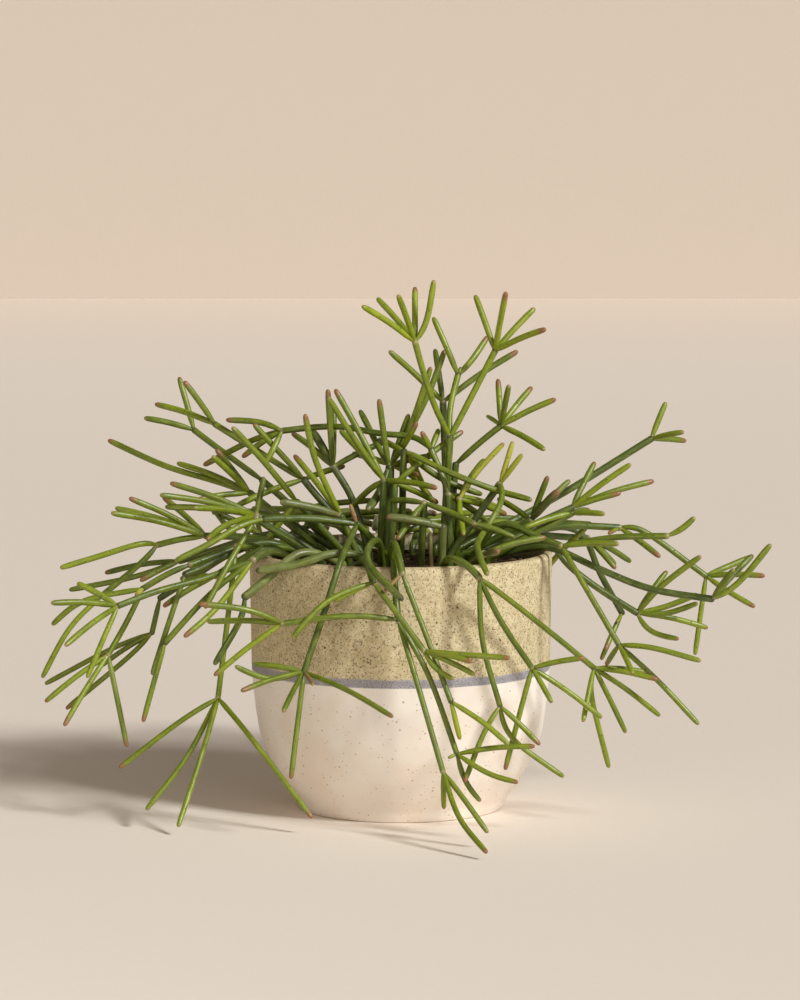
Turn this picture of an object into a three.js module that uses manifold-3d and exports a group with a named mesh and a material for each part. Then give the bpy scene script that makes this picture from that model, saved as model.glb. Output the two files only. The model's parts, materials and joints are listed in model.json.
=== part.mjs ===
// A potted rhipsalis neves-armondii: a ceramic pot, its soil, and the plant as one solid for each shoot.
// Millimetres, +Z up, the origin at the middle of the pot's flat base, the viewer on the -Y side.
import * as THREE from 'three';
import { mergeVertices } from 'three/addons/utils/BufferGeometryUtils.js';
import Module from 'manifold-3d';

const wasm = await Module();
wasm.setup();

// Pot: radius and height of points on the outer wall, from the foot up to the rim.
const POT_SIDES = 32;
const POT_HEIGHT = 130;
const POT_OUTSIDE = [
  [51, 0],
  [52.8, 4],
  [58.9, 13],
  [64.7, 22],
  [69, 32],
  [71.3, 40],
  [72.8, 49],
  [74, 60],
  [75.1, 73],
  [76, POT_HEIGHT - 2.4],
  [75.2, POT_HEIGHT - 0.6],
  [73.6, POT_HEIGHT],
];
const POT_INSIDE = [
  [72, POT_HEIGHT - 0.7],
  [71.2, POT_HEIGHT - 3],
  [70.4, 74],
  [67.6, 46],
  [59, 22],
  [46, 8],
];
const POT_FLOOR = 7;
const LIP = { radius: 73.4, height: 127.3, halfWidth: 2.8 };

// Soil: fills the pot, with a lumpy top.
const SOIL_TOP = 121.5;
const SOIL_GAP = 0.35;
const SOIL_RINGS = 3;
const SOIL_HIGHEST = 124.6;
// Two waves over the soil's top: a height in mm, and turns in radians for each mm along X and Y.
const LUMPS = {
  reach: 71,
  broad: { height: 1.5, alongX: 0.19, shiftX: 1.3, alongY: 0.23 },
  small: { height: 0.9, alongX: 0.41, alongY: 0.36 },
};

// Stems.
const STEM_RADIUS = 1.55;
const STEM_SIDES = 5;
const SIDE_SWELL = 1.08;
const FOOT_DEPTH = 10;
const FOOT_TOP = 126.5;
const HOLE_GAP = 0.45;
const HOLE_SIDES = 5;
const FEET_APART = 8.4;
const FEET_REACH = 60;
const THICKNESS = { grey: 1.35, old: 1.14, yellow: 0.9, dry: 0.75, bud: 0.75 };
// A limb that hangs low is slimmer: from full width at one height of its end to a share of it at the other.
const HANGING = { from: 125, to: 70, width: 0.87 };
const BOW = 0.035;
const FOOT_POINT = 0.6;
// Ends of the limbs, by the stem's radius: the base is a slim cone in mm, the tip and the joint are blunt.
const BASE = { length: 3.4, width: 0.95 };
const TIP = { length: 0.7, width: 0.92 };
const JOINT = { length: 0.8, width: 0.95 };
const WAIST = 0.85;
const STRAIGHT_ON = 0.6;

// How the stems keep clear of each other, of the pot and of the surface it stands on.
const STEP = 4.5;
const STEM_MARGIN = 2.4;
const POT_MARGIN = 1.25;
const FLOOR_MARGIN = 2.4;
const ROUNDS = 100;
const LAST_ROUNDS = 30;
const SIDEWAYS = 0.5;
const STIFFNESS = 0.5;
const HOLD = 0.05;
const RING_TOLERANCE = 1.3;
const OVER_LIP = 4.2;

// The viewer's place, and the photograph's 800 by 1000 frame in pixels.
const EYE = { x: -0.4, y: -2200, z: 390, down: (6.1 * Math.PI) / 180 };
const PHOTO = { centreU: 400, centreV: 500, focal: 4415 };
const LEAN_REACH = 360;

// The shoots that the photograph shows. A limb is [point, ..., limb, ...]: the limbs in it grow from its last
// point. A point is [u, v, depth]: its pixel in the photograph, and how far it lies behind the pot's axis in mm.
// Points on the way may leave their depth out. A word in a limb says how old it is. "foot" is [x, y] in the
// soil, in mm. "lean" is how much further back a shoot lies LEAN_REACH pixels out from the pot's axis.
const SHOOTS = {
  tall_pale: { tone: 'pale', foot: [23, -8], limb:
    [[450, 437, -6],
      [[437, 412], [425, 378], [415, 342, -14],
        [[362, 306, -32]], [[377, 298, 0]], [[398, 295, -30]], [[415, 287, 0]], [[426, 326], [434, 280, -16]]],
      [[449, 411], [458, 375, 8],
        [[433, 317, 16]], [[471, 362], [488, 336, 24]], [[461, 367, 10], 'bud']],
      [[467, 405], [495, 351, -2],
        [[475, 295, 10]], [[506, 292, -22]], [[535, 308, 8]], [[546, 329, -20]], [[500, 331, -4], 'bud']]] },
  tall_dark: { tone: 'dark', foot: [24, 14], limb:
    [[443, 402, 16], [[389, 351, 8]], [[435, 349, 30]], [[518, 351, 26]]] },
  centre: { tone: 'fresh', foot: [-6, 10], limb:
    [[391, 465, 4],
      [[410, 428], [431, 367, -6]], [[425, 401], [445, 350, 14]], [[417, 422, -10]], [[409, 414, 4]],
      [[352, 453, 20]], [[418, 474, -12], 'yellow'], [[412, 474], [434, 503, 16]]] },
  centre_right: { tone: 'fresh', foot: [26, 2], lean: -10, limb:
    [[456, 465, 4],
      [[501, 426, 0],
        [[498, 379, 10]], [[509, 385, -12]], [[532, 387, 16]], [[556, 399, -4]], [[487, 416, 14], 'bud'],
        [[545, 450, -18]]]] },
  old_post: { tone: 'dark', foot: [-7, -4], limb:
    [[389, 467, -6], 'old',
      [[384, 436], [379, 399, -10]], [[377, 498], [368, 511, -24], 'grey'], [[360, 410, 12]], [[436, 456, 10]]] },
  arch: { tone: 'fresh', foot: [25, -14], limb:
    [[452, 495, -14],
      [[499, 507, 4]], [[488, 521, -6]],
      [[431, 450, -10],
        [[421, 431, -14]], [[439, 429, -2]],
        [[419, 439], [385, 437], [350, 428], [320, 427], [282, 431, 12],
          [[262, 422], [226, 420, 22]], [[250, 442], [203, 466, 34]], [[243, 456, 24]], [[265, 464, 6]]]]] },
  left_high: { tone: 'fresh', foot: [-20, 12], lean: 25, limb:
    [[303, 480, 8],
      [[250, 446], [215, 424, 16], [[184, 381, 10]], [[155, 404, 26]]],
      [[254, 423, 0]], [[236, 506, -10]], [[345, 466, 12]]] },
  left_high_back: { tone: 'dark', foot: [-30, 22], lean: 62, limb:
    [[262, 480, 28], [[215, 446], [194, 430, 32], [[179, 377, 36]], [[144, 418, 22]]]] },
  left_inner: { tone: 'fresh', foot: [-26, -6], lean: -14, limb:
    [[297, 502, -10], [[232, 427, -20]], [[262, 548, -14]]] },
  left_front_high: { tone: 'fresh', foot: [-20, -22], limb:
    [[341, 516, -24], [[315, 460], [305, 414, -34]], [[280, 502, -36], 'grey'], [[294, 455, -6]]] },
  left_middle: { tone: 'dark', foot: [-16, 6], limb:
    [[353, 500], [333, 467, 6],
      [[328, 389, 2]], [[334, 407, 14]], [[312, 430, 22], 'grey'], [[292, 433, 30]],
      [[358, 454], [387, 441, 20]]] },
  centre_left: { tone: 'fresh', foot: [-10, -12], limb:
    [[384, 480, -16],
      [[355, 440], [328, 397, -26]], [[335, 389, -12]], [[340, 430, 0]], [[352, 507, 4]], [[437, 488, -34]]] },
  left_whip: { tone: 'fresh', foot: [-36, 14], lean: 22, limb:
    [[250, 493, 22],
      [[215, 481], [165, 466], [108, 440, 48]], [[177, 463, 38]], [[216, 449, 16]], [[212, 456, 8]],
      [[197, 500, 6]]] },
  left_fan: { tone: 'dark', foot: [-42, -4], lean: -26, limb:
    [[256, 516, -2],
      [[170, 483, 4]], [[160, 495, -14]], [[193, 508, -20]], [[225, 525], [207, 540, -30]], [[264, 477, 4]],
      [[165, 507, 12]]] },
  left_far: { tone: 'fresh', foot: [-46, 10], lean: 8, limb:
    [[206, 536, 12],
      [[129, 498, 2]], [[163, 497, 26]], [[111, 513, -6]], [[115, 508, 14]],
      [[157, 545, 10],
        [[145, 542], [100, 556], [60, 568, -6]],
        [[147, 558], [104, 594, 2], [[70, 627], [42, 678, -14]]]]] },
  long_lying: { tone: 'dark', foot: [-2, -28], limb:
    [[357, 524, -42], 'old',
      [[264, 519, -52], 'old', [[240, 525], [215, 541], [175, 561, -72]]],
      [[341, 560, -72], [326, 607, -80], [304, 672, -88], 'old',
        [[269, 680], [235, 666, -102]], [[253, 664, -86]], [[241, 691, -110]], [[283, 712, -114]],
        [[291, 779, -102]], [[393, 717, -120]], [[313, 685, -108], 'dry']],
      [[350, 504, -42], 'dry']] },
  left_front_low: { tone: 'dark', foot: [-40, -24], limb: [[256, 518, -38], [[205, 608, -62]]] },
  curtain: { tone: 'fresh', foot: [-52, -8], limb:
    [[236, 548, -30],
      [[230, 600], [218, 698, -44],
        [[182, 720], [119, 768, -56]], [[187, 757], [146, 810, -70]], [[202, 754], [178, 827, -86]],
        [[248, 734], [312, 818, -84]]]] },
  thick_grey: { tone: 'grey', foot: [-28, -40], limb:
    [[315, 552], [283, 566], [245, 597, -62], 'grey', [[243, 616], [214, 665, -66], 'old']] },
  grey_short: { tone: 'grey', foot: [-16, -46], limb:
    [[355, 556, -58], [312, 563, -62], [256, 571, -60], 'grey'] },
  rim_left: { tone: 'fresh', foot: [-52, -18], lean: -26, limb:
    [[253, 560, -36], 'grey',
      [[200, 580], [160, 590], [118, 606, -52],
        [[77, 583, -42]], [[51, 603, -64]], [[65, 646, -74]], [[105, 635], [87, 678, -62]]],
      [[217, 608], [184, 637, -52]],
      [[210, 594], [165, 643, -44], [[143, 722, -50]]]] },
  front_main: { tone: 'fresh', foot: [-2, -52], limb:
    [[393, 563, -78], [398, 620, -88],
      [[349, 616], [282, 624, -96], [[250, 610], [199, 604, -106]], [[207, 622, -92]], [[214, 676, -100]]],
      [[416, 679], [443, 772, -108],
        [[444, 809, -104]], [[459, 818], [487, 853, -150]], [[464, 799], [488, 833, -122]]],
      [[429, 676], [457, 754, -98],
        [[535, 746, -106]], [[489, 774], [518, 782, -112]], [[466, 785], [481, 803, -106]],
        [[448, 758, -100], 'bud']]] },
  front_second: { tone: 'fresh', foot: [-20, -46], limb:
    [[369, 568, -78], [373, 582, -84],
      [[326, 601], [292, 638, -100]], [[334, 601, -90]],
      [[396, 612], [424, 651, -98],
        [[455, 654], [510, 658, -116]], [[472, 662, -112]], [[475, 675, -106]],
        [[435, 670], [454, 679, -102]]]] },
  front_third: { tone: 'pale', foot: [-4, -60], limb:
    [[393, 538], [398, 556, -78], [402, 574, -84],
      [[424, 630], [451, 702, -102], [[460, 740, -102]], [[484, 723], [509, 745, -110]]],
      [[384, 590, -90], 'dry']] },
  front_loop: { tone: 'dark', foot: [-12, -44], limb:
    [[378, 538, -62], [365, 553, -76], [373, 571, -84], [403, 600, -94]] },
  right_front: { tone: 'fresh', foot: [20, -56], limb:
    [[450, 558, -76], [465, 561, -80], [480, 577, -84],
      [[482, 640], [500, 706, -90],
        [[485, 730], [463, 782, -102]], [[540, 745, -94]], [[502, 722], [515, 742], [564, 777, -84]]],
      [[500, 620], [532, 668, -78],
        [[584, 658, -84]], [[505, 770, -86]], [[552, 703, -88]], [[602, 718, -74]]],
      [[540, 624], [594, 668, -58],
        [[651, 673, -50]], [[658, 679, -64]], [[660, 716, -48]], [[626, 733, -58]],
        [[590, 690], [609, 768, -60]], [[583, 722, -74]]]] },
  dry_stub: { tone: 'grey', foot: [15, -20], limb: [[430, 532, -20], 'dry'] },
  cut_end: { tone: 'dark', foot: [34, -46], limb:
    [[484, 554, -60], 'grey', [[499, 551, -72], 'grey'], [[512, 543], [546, 537, -52]]] },
  right_low: { tone: 'fresh', foot: [36, -14], lean: -32, limb:
    [[500, 522], [530, 534], [561, 546, -22],
      [[667, 536, -26], [[680, 532], [695, 517, -24]]],
      [[619, 544, -30]],
      [[583, 583], [619, 645, -40],
        [[650, 647], [701, 661, -50]], [[633, 674, -56]], [[699, 725, -40]], [[606, 665, -28]]]] },
  right_spread: { tone: 'fresh', foot: [40, 2], lean: -8, limb:
    [[552, 556], [600, 590], [637, 613, -2],
      [[648, 632], [679, 639, -10]], [[708, 628, 8]], [[667, 571, 12]], [[661, 586], [701, 556, -12]],
      [[663, 608], [698, 594, 2]], [[663, 615], [698, 603, -6]]] },
  right_tip: { tone: 'dark', foot: [42, -6], lean: -42, limb:
    [[597, 568], [650, 589], [712, 599, -14],
      [[735, 587], [771, 544, -8]], [[753, 555, 8]], [[734, 569, -24]]] },
  right_far: { tone: 'fresh', foot: [36, 8], lean: 24, limb:
    [[530, 532], [572, 525], [619, 527, 12],
      [[640, 528], [706, 576, 6],
        [[717, 571], [753, 556, 18]], [[765, 576, -4]], [[727, 591], [755, 607, -12]], [[695, 655, 0]]],
      [[660, 557, -2]], [[608, 533, 4], 'bud']] },
  right_back_low: { tone: 'dark', foot: [34, 24], lean: 58, limb:
    [[578, 530], [598, 570], [622, 613, 22], [[605, 650, 12]], [[601, 660, 26]], [[617, 622, 16], 'bud']] },
  right_high: { tone: 'fresh', foot: [28, 24], lean: 46, limb:
    [[555, 498], [651, 439, 32], [[666, 402, 36]], [[684, 432, 18]], [[686, 441, 40]]] },
  right_middle: { tone: 'fresh', foot: [36, 14], lean: 26, limb:
    [[572, 508, 12], [[631, 464, 6]], [[654, 481, 20]], [[595, 462, 24]], [[621, 493, 10]]] },
  right_inner: { tone: 'dark', foot: [28, 0], limb:
    [[531, 520, -4], [[548, 476, -10]], [[570, 480, 6]], [[559, 490, -14], 'grey'], [[497, 499, 8]]] },
  front_high: { tone: 'fresh', foot: [26, -10], limb:
    [[455, 497, -14], [[504, 443, -22], 'yellow'], [[484, 459, 6]], [[506, 514, 0]], [[463, 535, -34]]] },
  old_right: { tone: 'dark', foot: [24, -26], limb:
    [[448, 558], [501, 485, -22], 'old', [[513, 442, -24], 'yellow'], [[523, 455, -28], 'yellow'],
      [[502, 503], [482, 533, -52], [477, 550, -74], [487, 576, -88]]] },
  leaning: { tone: 'dark', foot: [0, 4], limb:
    [[405, 450, -8], [[459, 476], [532, 500, -28]], [[378, 438, 8]], [[424, 488, 8], 'yellow'],
      [[440, 478], [482, 494, 6]]] },
  crossing: { tone: 'fresh', foot: [-6, -18], limb: [[394, 483, -14], [[463, 431, 2]], [[438, 503, -2]]] },
  right_cluster: { tone: 'fresh', foot: [42, -14], lean: -14, limb:
    [[572, 513, -4], [[524, 528, -18]], [[605, 514, -12]], [[590, 511, 6], 'grey']] },
  right_back: { tone: 'dark', foot: [36, 20], lean: 68, limb:
    [[588, 537, 22], [[631, 562, 30]], [[606, 553, 26]], [[616, 565, 18]], [[616, 569, 10]]] },
  short_front: { tone: 'dark', foot: [10, -30], limb:
    [[424, 503, -34], [[474, 524, -48], [[515, 538, -50]]], [[390, 500, -20]], [[397, 540, -52]]] },
  grey_cut: { tone: 'grey', foot: [20, -38], limb: [[443, 527, -44], 'grey', [[386, 517, -46], 'grey']] },
  left_hanging: { tone: 'fresh', foot: [-48, 0], lean: -34, limb:
    [[190, 565, -8],
      [[143, 589, -10],
        [[82, 601], [52, 625, 8]], [[136, 596, -20], 'yellow'],
        [[128, 620], [108, 655, -18], [[127, 747, -28]], [[64, 726, -34]], [[45, 702, -24]]]]] },
  left_hanging_back: { tone: 'dark', foot: [-46, 16], lean: 48, limb:
    [[160, 598, 20],
      [[152, 633, 18], [[111, 649], [45, 684, 26]], [[131, 655], [66, 709, 10]], [[98, 668, 14]]]] },
  left_back: { tone: 'dark', foot: [-44, 20], lean: 66, limb:
    [[180, 561, 26], [[105, 573, 32]], [[134, 577], [69, 590, 16]], [[140, 581, 8]]] },
  left_drop: { tone: 'fresh', foot: [-42, -14], limb:
    [[215, 575, -34], [[163, 607, -46]], [[179, 577, -30]]] },
  left_thin: { tone: 'dark', foot: [-48, -6], lean: -50, limb: [[185, 575, -12], [[168, 625], [152, 675, -20]]] },
};

// The shoots on the side that the photograph doesn't show, laid out by a rule, turning about the pot's axis.
const BACK = {
  count: 8,
  from: 20,
  to: 160,
  footRadius: [34, 52],
  jointRadius: [58, 84],
  jointHeight: [134, 148],
  arms: 3,
  stray: 0.6,
  armTurn: 40,
  armRise: [-24, 6],
  armLength: [30, 52],
  armBow: 1.2,
  tips: [1, 1.8],
  tipTurn: 34,
  tipRise: [-86, -26],
  tipLength: [34, 62],
  tipBow: 1.6,
  innerArms: 2,
  innerRise: [-4, 14],
  innerLength: [38, 60],
  sideReach: 66,
  highReach: 96,
  sideHeight: 136,
  wallReach: 84,
  seed: 1911,
};

const COLOURS = {
  pot: 0xcdc3ab,
  soil: 0x3a2a1f,
  pale: 0xa3b45a,
  fresh: 0x7f9a45,
  dark: 0x55703a,
  grey: 0x8a917a,
};

// Repeatable draws between 0 and 1.
function makeDraw(seed) {
  let state = seed;
  return function draw() {
    state = (Math.imul(state, 1664525) + 1013904223) >>> 0;
    return state / 4294967296;
  };
}

// The place in mm of a pixel of the photograph at a given depth.
function placeOf(u, v, depth) {
  const away = depth - EYE.y;
  const z = EYE.z + away * Math.tan(Math.atan((PHOTO.centreV - v) / PHOTO.focal) - EYE.down);
  const forward = away * Math.cos(EYE.down) + (EYE.z - z) * Math.sin(EYE.down);
  return [EYE.x + ((u - PHOTO.centreU) / PHOTO.focal) * forward, depth, z];
}

function mix(from, to, share) {
  return from + (to - from) * share;
}

// The middle of a limb that was given by its two ends only: raised, the more so the flatter the limb lies.
function bowed(start, end, lift) {
  const flat = Math.hypot(end[0] - start[0], end[1] - start[1]);
  return [(start[0] + end[0]) / 2, (start[1] + end[1]) / 2, (start[2] + end[2]) / 2 + lift * BOW * flat];
}

// All limbs in one list. Each has its shoot, its parent, its points on the way and its radius.
const limbs = [];

function addLimb(shoot, parent, points, radius, foot = false) {
  limbs.push({ shoot, parent, points, radius, foot, children: 0 });
  if (parent >= 0) {
    limbs[parent].children += 1;
  }
  return limbs.length - 1;
}

// The radius of a limb by its age and by how low it hangs.
function radiusOf(age, end) {
  const share = Math.max(0, Math.min(1, (HANGING.from - end[2]) / (HANGING.from - HANGING.to)));
  return STEM_RADIUS * (THICKNESS[age] ?? 1) * mix(1, HANGING.width, share);
}

function traceLimb(shoot, parent, start, limb, lean, foot = false) {
  const given = limb.filter((item) => typeof item[0] === 'number');
  const grown = limb.filter((item) => Array.isArray(item[0]));
  const age = limb.find((item) => typeof item === 'string');
  const points = [start];
  let depth = parent < 0 ? start[1] : limbs[parent].depth;
  let waiting = [];
  for (const pixel of given) {
    waiting.push(pixel);
    if (pixel.length === 3) {
      waiting.forEach((way, index) => {
        const share = (index + 1) / waiting.length;
        const back = (lean * Math.abs(way[0] - PHOTO.centreU)) / LEAN_REACH;
        points.push(placeOf(way[0], way[1], mix(depth, pixel[2], share) + back));
      });
      depth = pixel[2];
      waiting = [];
    }
  }
  const end = points[points.length - 1];
  if (foot) {
    points.splice(1, 0, [start[0], start[1], FOOT_TOP]);
  } else if (points.length === 2) {
    points.splice(1, 0, bowed(start, end, 1));
  }
  const own = addLimb(shoot, parent, points, radiusOf(age ?? (foot ? 'old' : 'young'), end), foot);
  limbs[own].depth = depth;
  for (const child of grown) {
    traceLimb(shoot, own, end, child, lean);
  }
}

function turned(start, turn, rise, length) {
  const flat = length * Math.cos(rise);
  const [x, y, z] = start;
  return [x + flat * Math.cos(turn), y + flat * Math.sin(turn), z + length * Math.sin(rise)];
}

// A limb of a hidden shoot stays behind the pot where it hangs lower than the rim.
function keptBehind(place) {
  const reach = place[2] < BACK.sideHeight ? BACK.sideReach : BACK.highReach;
  const x = Math.max(-reach, Math.min(reach, place[0]));
  const nearest = Math.sqrt(Math.max(0, BACK.wallReach ** 2 - x ** 2));
  return [x, Math.max(place[1], nearest), place[2]];
}

function growBack(shoot, index, draw) {
  const radians = Math.PI / 180;
  const between = ([low, high]) => mix(low, high, draw());
  const turn = mix(BACK.from, BACK.to, (index + 0.5) / BACK.count) * radians;
  const footRadius = between(BACK.footRadius);
  const foot = [footRadius * Math.cos(turn), footRadius * Math.sin(turn), SOIL_TOP - FOOT_DEPTH];
  const jointRadius = between(BACK.jointRadius);
  const joint = [jointRadius * Math.cos(turn), jointRadius * Math.sin(turn), between(BACK.jointHeight)];
  const rising = [foot, [foot[0], foot[1], FOOT_TOP], joint];
  const trunk = addLimb(shoot, -1, rising, radiusOf('old', joint), true);
  for (let arm = 0; arm < BACK.innerArms; arm += 1) {
    const armSpread = arm - (BACK.innerArms - 1) / 2 + (draw() - 0.5) * BACK.stray;
    const armTurn = turn + Math.PI + armSpread * BACK.armTurn * radians;
    const armEnd = turned(joint, armTurn, between(BACK.innerRise) * radians, between(BACK.innerLength));
    addLimb(shoot, trunk, [joint, bowed(joint, armEnd, BACK.armBow), armEnd], radiusOf('young', armEnd));
  }
  for (let arm = 0; arm < BACK.arms; arm += 1) {
    const armSpread = arm - (BACK.arms - 1) / 2 + (draw() - 0.5) * BACK.stray;
    const armTurn = turn + armSpread * BACK.armTurn * radians;
    const armRise = between(BACK.armRise) * radians;
    const armEnd = keptBehind(turned(joint, armTurn, armRise, between(BACK.armLength)));
    const armPoints = [joint, bowed(joint, armEnd, BACK.armBow), armEnd];
    const armLimb = addLimb(shoot, trunk, armPoints, radiusOf('young', armEnd));
    const tips = Math.round(between(BACK.tips));
    for (let tip = 0; tip < tips; tip += 1) {
      const tipSpread = tip - (tips - 1) / 2 + (draw() - 0.5) * BACK.stray;
      const tipTurn = armTurn + tipSpread * BACK.tipTurn * radians;
      const tipRise = between(BACK.tipRise) * radians;
      const tipEnd = keptBehind(turned(armEnd, tipTurn, tipRise, between(BACK.tipLength)));
      const tipPoints = [armEnd, bowed(armEnd, tipEnd, BACK.tipBow), tipEnd];
      addLimb(shoot, armLimb, tipPoints, radiusOf('young', tipEnd));
    }
  }
}

// A smooth line through the given points: a cubic in each span, with slopes from the points on either side.
function along(points, position) {
  const last = points.length - 1;
  const span = Math.min(Math.floor(position), last - 1);
  const t = position - span;
  const b = points[span];
  const c = points[span + 1];
  const a = span > 0 ? points[span - 1] : [0, 1, 2].map((k) => 2 * b[k] - c[k]);
  const d = span + 1 < last ? points[span + 2] : [0, 1, 2].map((k) => 2 * c[k] - b[k]);
  return [0, 1, 2].map((k) => {
    const slope = c[k] - a[k];
    const bend = 2 * a[k] - 5 * b[k] + 4 * c[k] - d[k];
    const twist = 3 * (b[k] - c[k]) + d[k] - a[k];
    return b[k] + 0.5 * t * (slope + t * (bend + t * twist));
  });
}

// The same line in steps of nearly equal length.
function evenSteps(points) {
  const fine = 12;
  const dense = [];
  const reach = [0];
  for (let i = 0; i <= (points.length - 1) * fine; i += 1) {
    dense.push(along(points, i / fine));
    if (i > 0) {
      const before = dense[i - 1];
      const here = dense[i];
      reach.push(reach[i - 1] + Math.hypot(here[0] - before[0], here[1] - before[1], here[2] - before[2]));
    }
  }
  const total = reach[reach.length - 1];
  const steps = Math.max(2, Math.round(total / STEP));
  const result = [];
  let j = 0;
  for (let i = 0; i <= steps; i += 1) {
    const wanted = (total * i) / steps;
    while (j < reach.length - 2 && reach[j + 1] < wanted) {
      j += 1;
    }
    const share = Math.min(1, (wanted - reach[j]) / (reach[j + 1] - reach[j]));
    result.push([0, 1, 2].map((k) => mix(dense[j][k], dense[j + 1][k], share)));
  }
  return result;
}

// Moves the feet apart until their holes in the soil keep a wall between them.
function spreadFeet() {
  const feet = limbs.filter((limb) => limb.foot);
  for (let round = 0; round < ROUNDS; round += 1) {
    const push = feet.map(() => [0, 0]);
    feet.forEach((one, i) => {
      feet.forEach((other, j) => {
        const dx = one.points[0][0] - other.points[0][0];
        const dy = one.points[0][1] - other.points[0][1];
        const distance = Math.sqrt(dx * dx + dy * dy);
        if (i !== j && distance < FEET_APART) {
          const share = (0.5 * (FEET_APART - distance)) / distance;
          push[i][0] += dx * share;
          push[i][1] += dy * share;
        }
      });
    });
    feet.forEach(({ points }, i) => {
      const x = points[0][0] + push[i][0];
      const y = points[0][1] + push[i][1];
      const inside = Math.min(1, FEET_REACH / Math.sqrt(x * x + y * y));
      for (const point of points.slice(0, 2)) {
        point[0] = x * inside;
        point[1] = y * inside;
      }
    });
  }
}

// Adds a point over the pot's lip to every limb that crosses it too low.
function liftOverLip(points) {
  const out = (place) => Math.sqrt(place[0] * place[0] + place[1] * place[1]);
  for (let k = points.length - 1; k > 0; k -= 1) {
    const [here, next] = [points[k - 1], points[k]];
    if (out(here) < LIP.radius && out(next) > LIP.radius) {
      const share = (LIP.radius - out(here)) / (out(next) - out(here));
      const height = mix(here[2], next[2], share);
      if (height < POT_HEIGHT + OVER_LIP) {
        const [x, y] = [mix(here[0], next[0], share), mix(here[1], next[1], share)];
        points.splice(k, 0, [x, y, POT_HEIGHT + OVER_LIP]);
      }
    }
  }
}

function outerRadiusAt(height) {
  let below = POT_OUTSIDE[0];
  for (const above of POT_OUTSIDE) {
    if (above[1] >= height) {
      const share = above[1] > below[1] ? (height - below[1]) / (above[1] - below[1]) : 0;
      return mix(below[0], above[0], share);
    }
    below = above;
  }
  return below[0];
}

// Moves one point out of the lip, the wall, the soil and the surface under the pot.
function clearOfPot(place, radius, inSoil) {
  if (inSoil) {
    return;
  }
  place[2] = Math.max(place[2], radius + FLOOR_MARGIN);
  const out = Math.hypot(place[0], place[1]);
  const offLip = out - LIP.radius;
  const overLip = place[2] - LIP.height;
  const fromLip = Math.hypot(offLip, overLip);
  const needed = LIP.halfWidth + radius + POT_MARGIN;
  if (fromLip < needed) {
    if (overLip < 0 && offLip < LIP.halfWidth) {
      place[2] += needed - fromLip;
    } else {
      const grow = needed / Math.max(fromLip, 0.001) - 1;
      const wider = (out + offLip * grow) / out;
      place[0] *= wider;
      place[1] *= wider;
      place[2] += overLip * grow;
    }
  } else if (overLip < 0 && offLip > 0) {
    const wall = outerRadiusAt(Math.max(0, place[2])) + radius + POT_MARGIN;
    if (out < wall) {
      place[0] *= wall / out;
      place[1] *= wall / out;
    }
  } else if (out < LIP.radius) {
    place[2] = Math.max(place[2], SOIL_HIGHEST + radius);
  }
}

// Bends the shoots clear of each other and of the pot. Each limb keeps its bends, like a springy rod, and stays
// near its place in the photograph, so what moves is mostly its depth.
function settle() {
  const places = [];
  const owners = [];
  const radii = [];
  const sunk = [];
  const middles = [];
  const ends = [];
  for (const limb of limbs) {
    const steps = limb.foot
      ? [limb.points[0], ...evenSteps(limb.points.slice(1))]
      : evenSteps(limb.points);
    limb.ids = steps.map((step, index) => {
      if (index === 0 && limb.parent >= 0) {
        return limbs[limb.parent].ids.at(-1);
      }
      places.push([...step]);
      owners.push(limb.shoot);
      radii.push(limb.radius);
      sunk.push(limb.foot && index < 2);
      return places.length - 1;
    });
    for (let k = 1; k < limb.ids.length; k += 1) {
      const [before, here, after] = [limb.ids[k - 1], limb.ids[k], limb.ids[k + 1]];
      if (after === undefined) {
        ends.push({ before, here, edge: [0, 1, 2].map((n) => steps[k][n] - steps[k - 1][n]) });
      } else if (!sunk[here]) {
        const bend = [0, 1, 2].map((n) => (steps[k - 1][n] + steps[k + 1][n]) / 2 - steps[k][n]);
        middles.push({ before, here, after, bend });
      }
    }
  }
  const first = places.map((place) => [...place]);
  for (let round = 0; round < ROUNDS; round += 1) {
    const push = places.map(() => [0, 0, 0]);
    for (let i = 0; i < places.length; i += 1) {
      for (let j = i + 1; j < places.length; j += 1) {
        const apart = radii[i] + radii[j] + STEM_MARGIN;
        const dy = places[j][1] - places[i][1];
        if (owners[i] === owners[j] || Math.abs(dy) > apart) {
          continue;
        }
        const dx = places[j][0] - places[i][0];
        const dz = places[j][2] - places[i][2];
        const distance = Math.max(Math.sqrt(dx * dx + dy * dy + dz * dz), 0.001);
        if (distance < apart) {
          const share = (0.5 * (apart - distance)) / distance;
          const side = round < ROUNDS - LAST_ROUNDS ? SIDEWAYS : 1;
          const moved = [dx * share * side, dy * share, dz * share * side];
          for (let n = 0; n < 3; n += 1) {
            push[i][n] -= moved[n];
            push[j][n] += moved[n];
          }
        }
      }
    }
    places.forEach((place, i) => {
      if (sunk[i]) {
        return;
      }
      for (let n = 0; n < 3; n += 1) {
        place[n] += push[i][n];
      }
    });
    if (round < ROUNDS - LAST_ROUNDS) {
      const still = places.map((place) => [...place]);
      for (const { before, here, after, bend } of middles) {
        for (let n = 0; n < 3; n += 1) {
          const wanted = (still[before][n] + still[after][n]) / 2 - bend[n];
          places[here][n] += STIFFNESS * (wanted - still[here][n]);
        }
      }
      for (const { before, here, edge } of ends) {
        for (let n = 0; n < 3; n += 1) {
          places[here][n] += STIFFNESS * (still[before][n] + edge[n] - still[here][n]);
        }
      }
      places.forEach((place, i) => {
        if (!sunk[i]) {
          place[0] += HOLD * (first[i][0] - place[0]);
          place[2] += HOLD * (first[i][2] - place[2]);
        }
      });
    }
    places.forEach((place, i) => clearOfPot(place, radii[i], sunk[i]));
  }
  for (const limb of limbs) {
    limb.line = limb.ids.map((id) => places[id]);
  }
}

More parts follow.
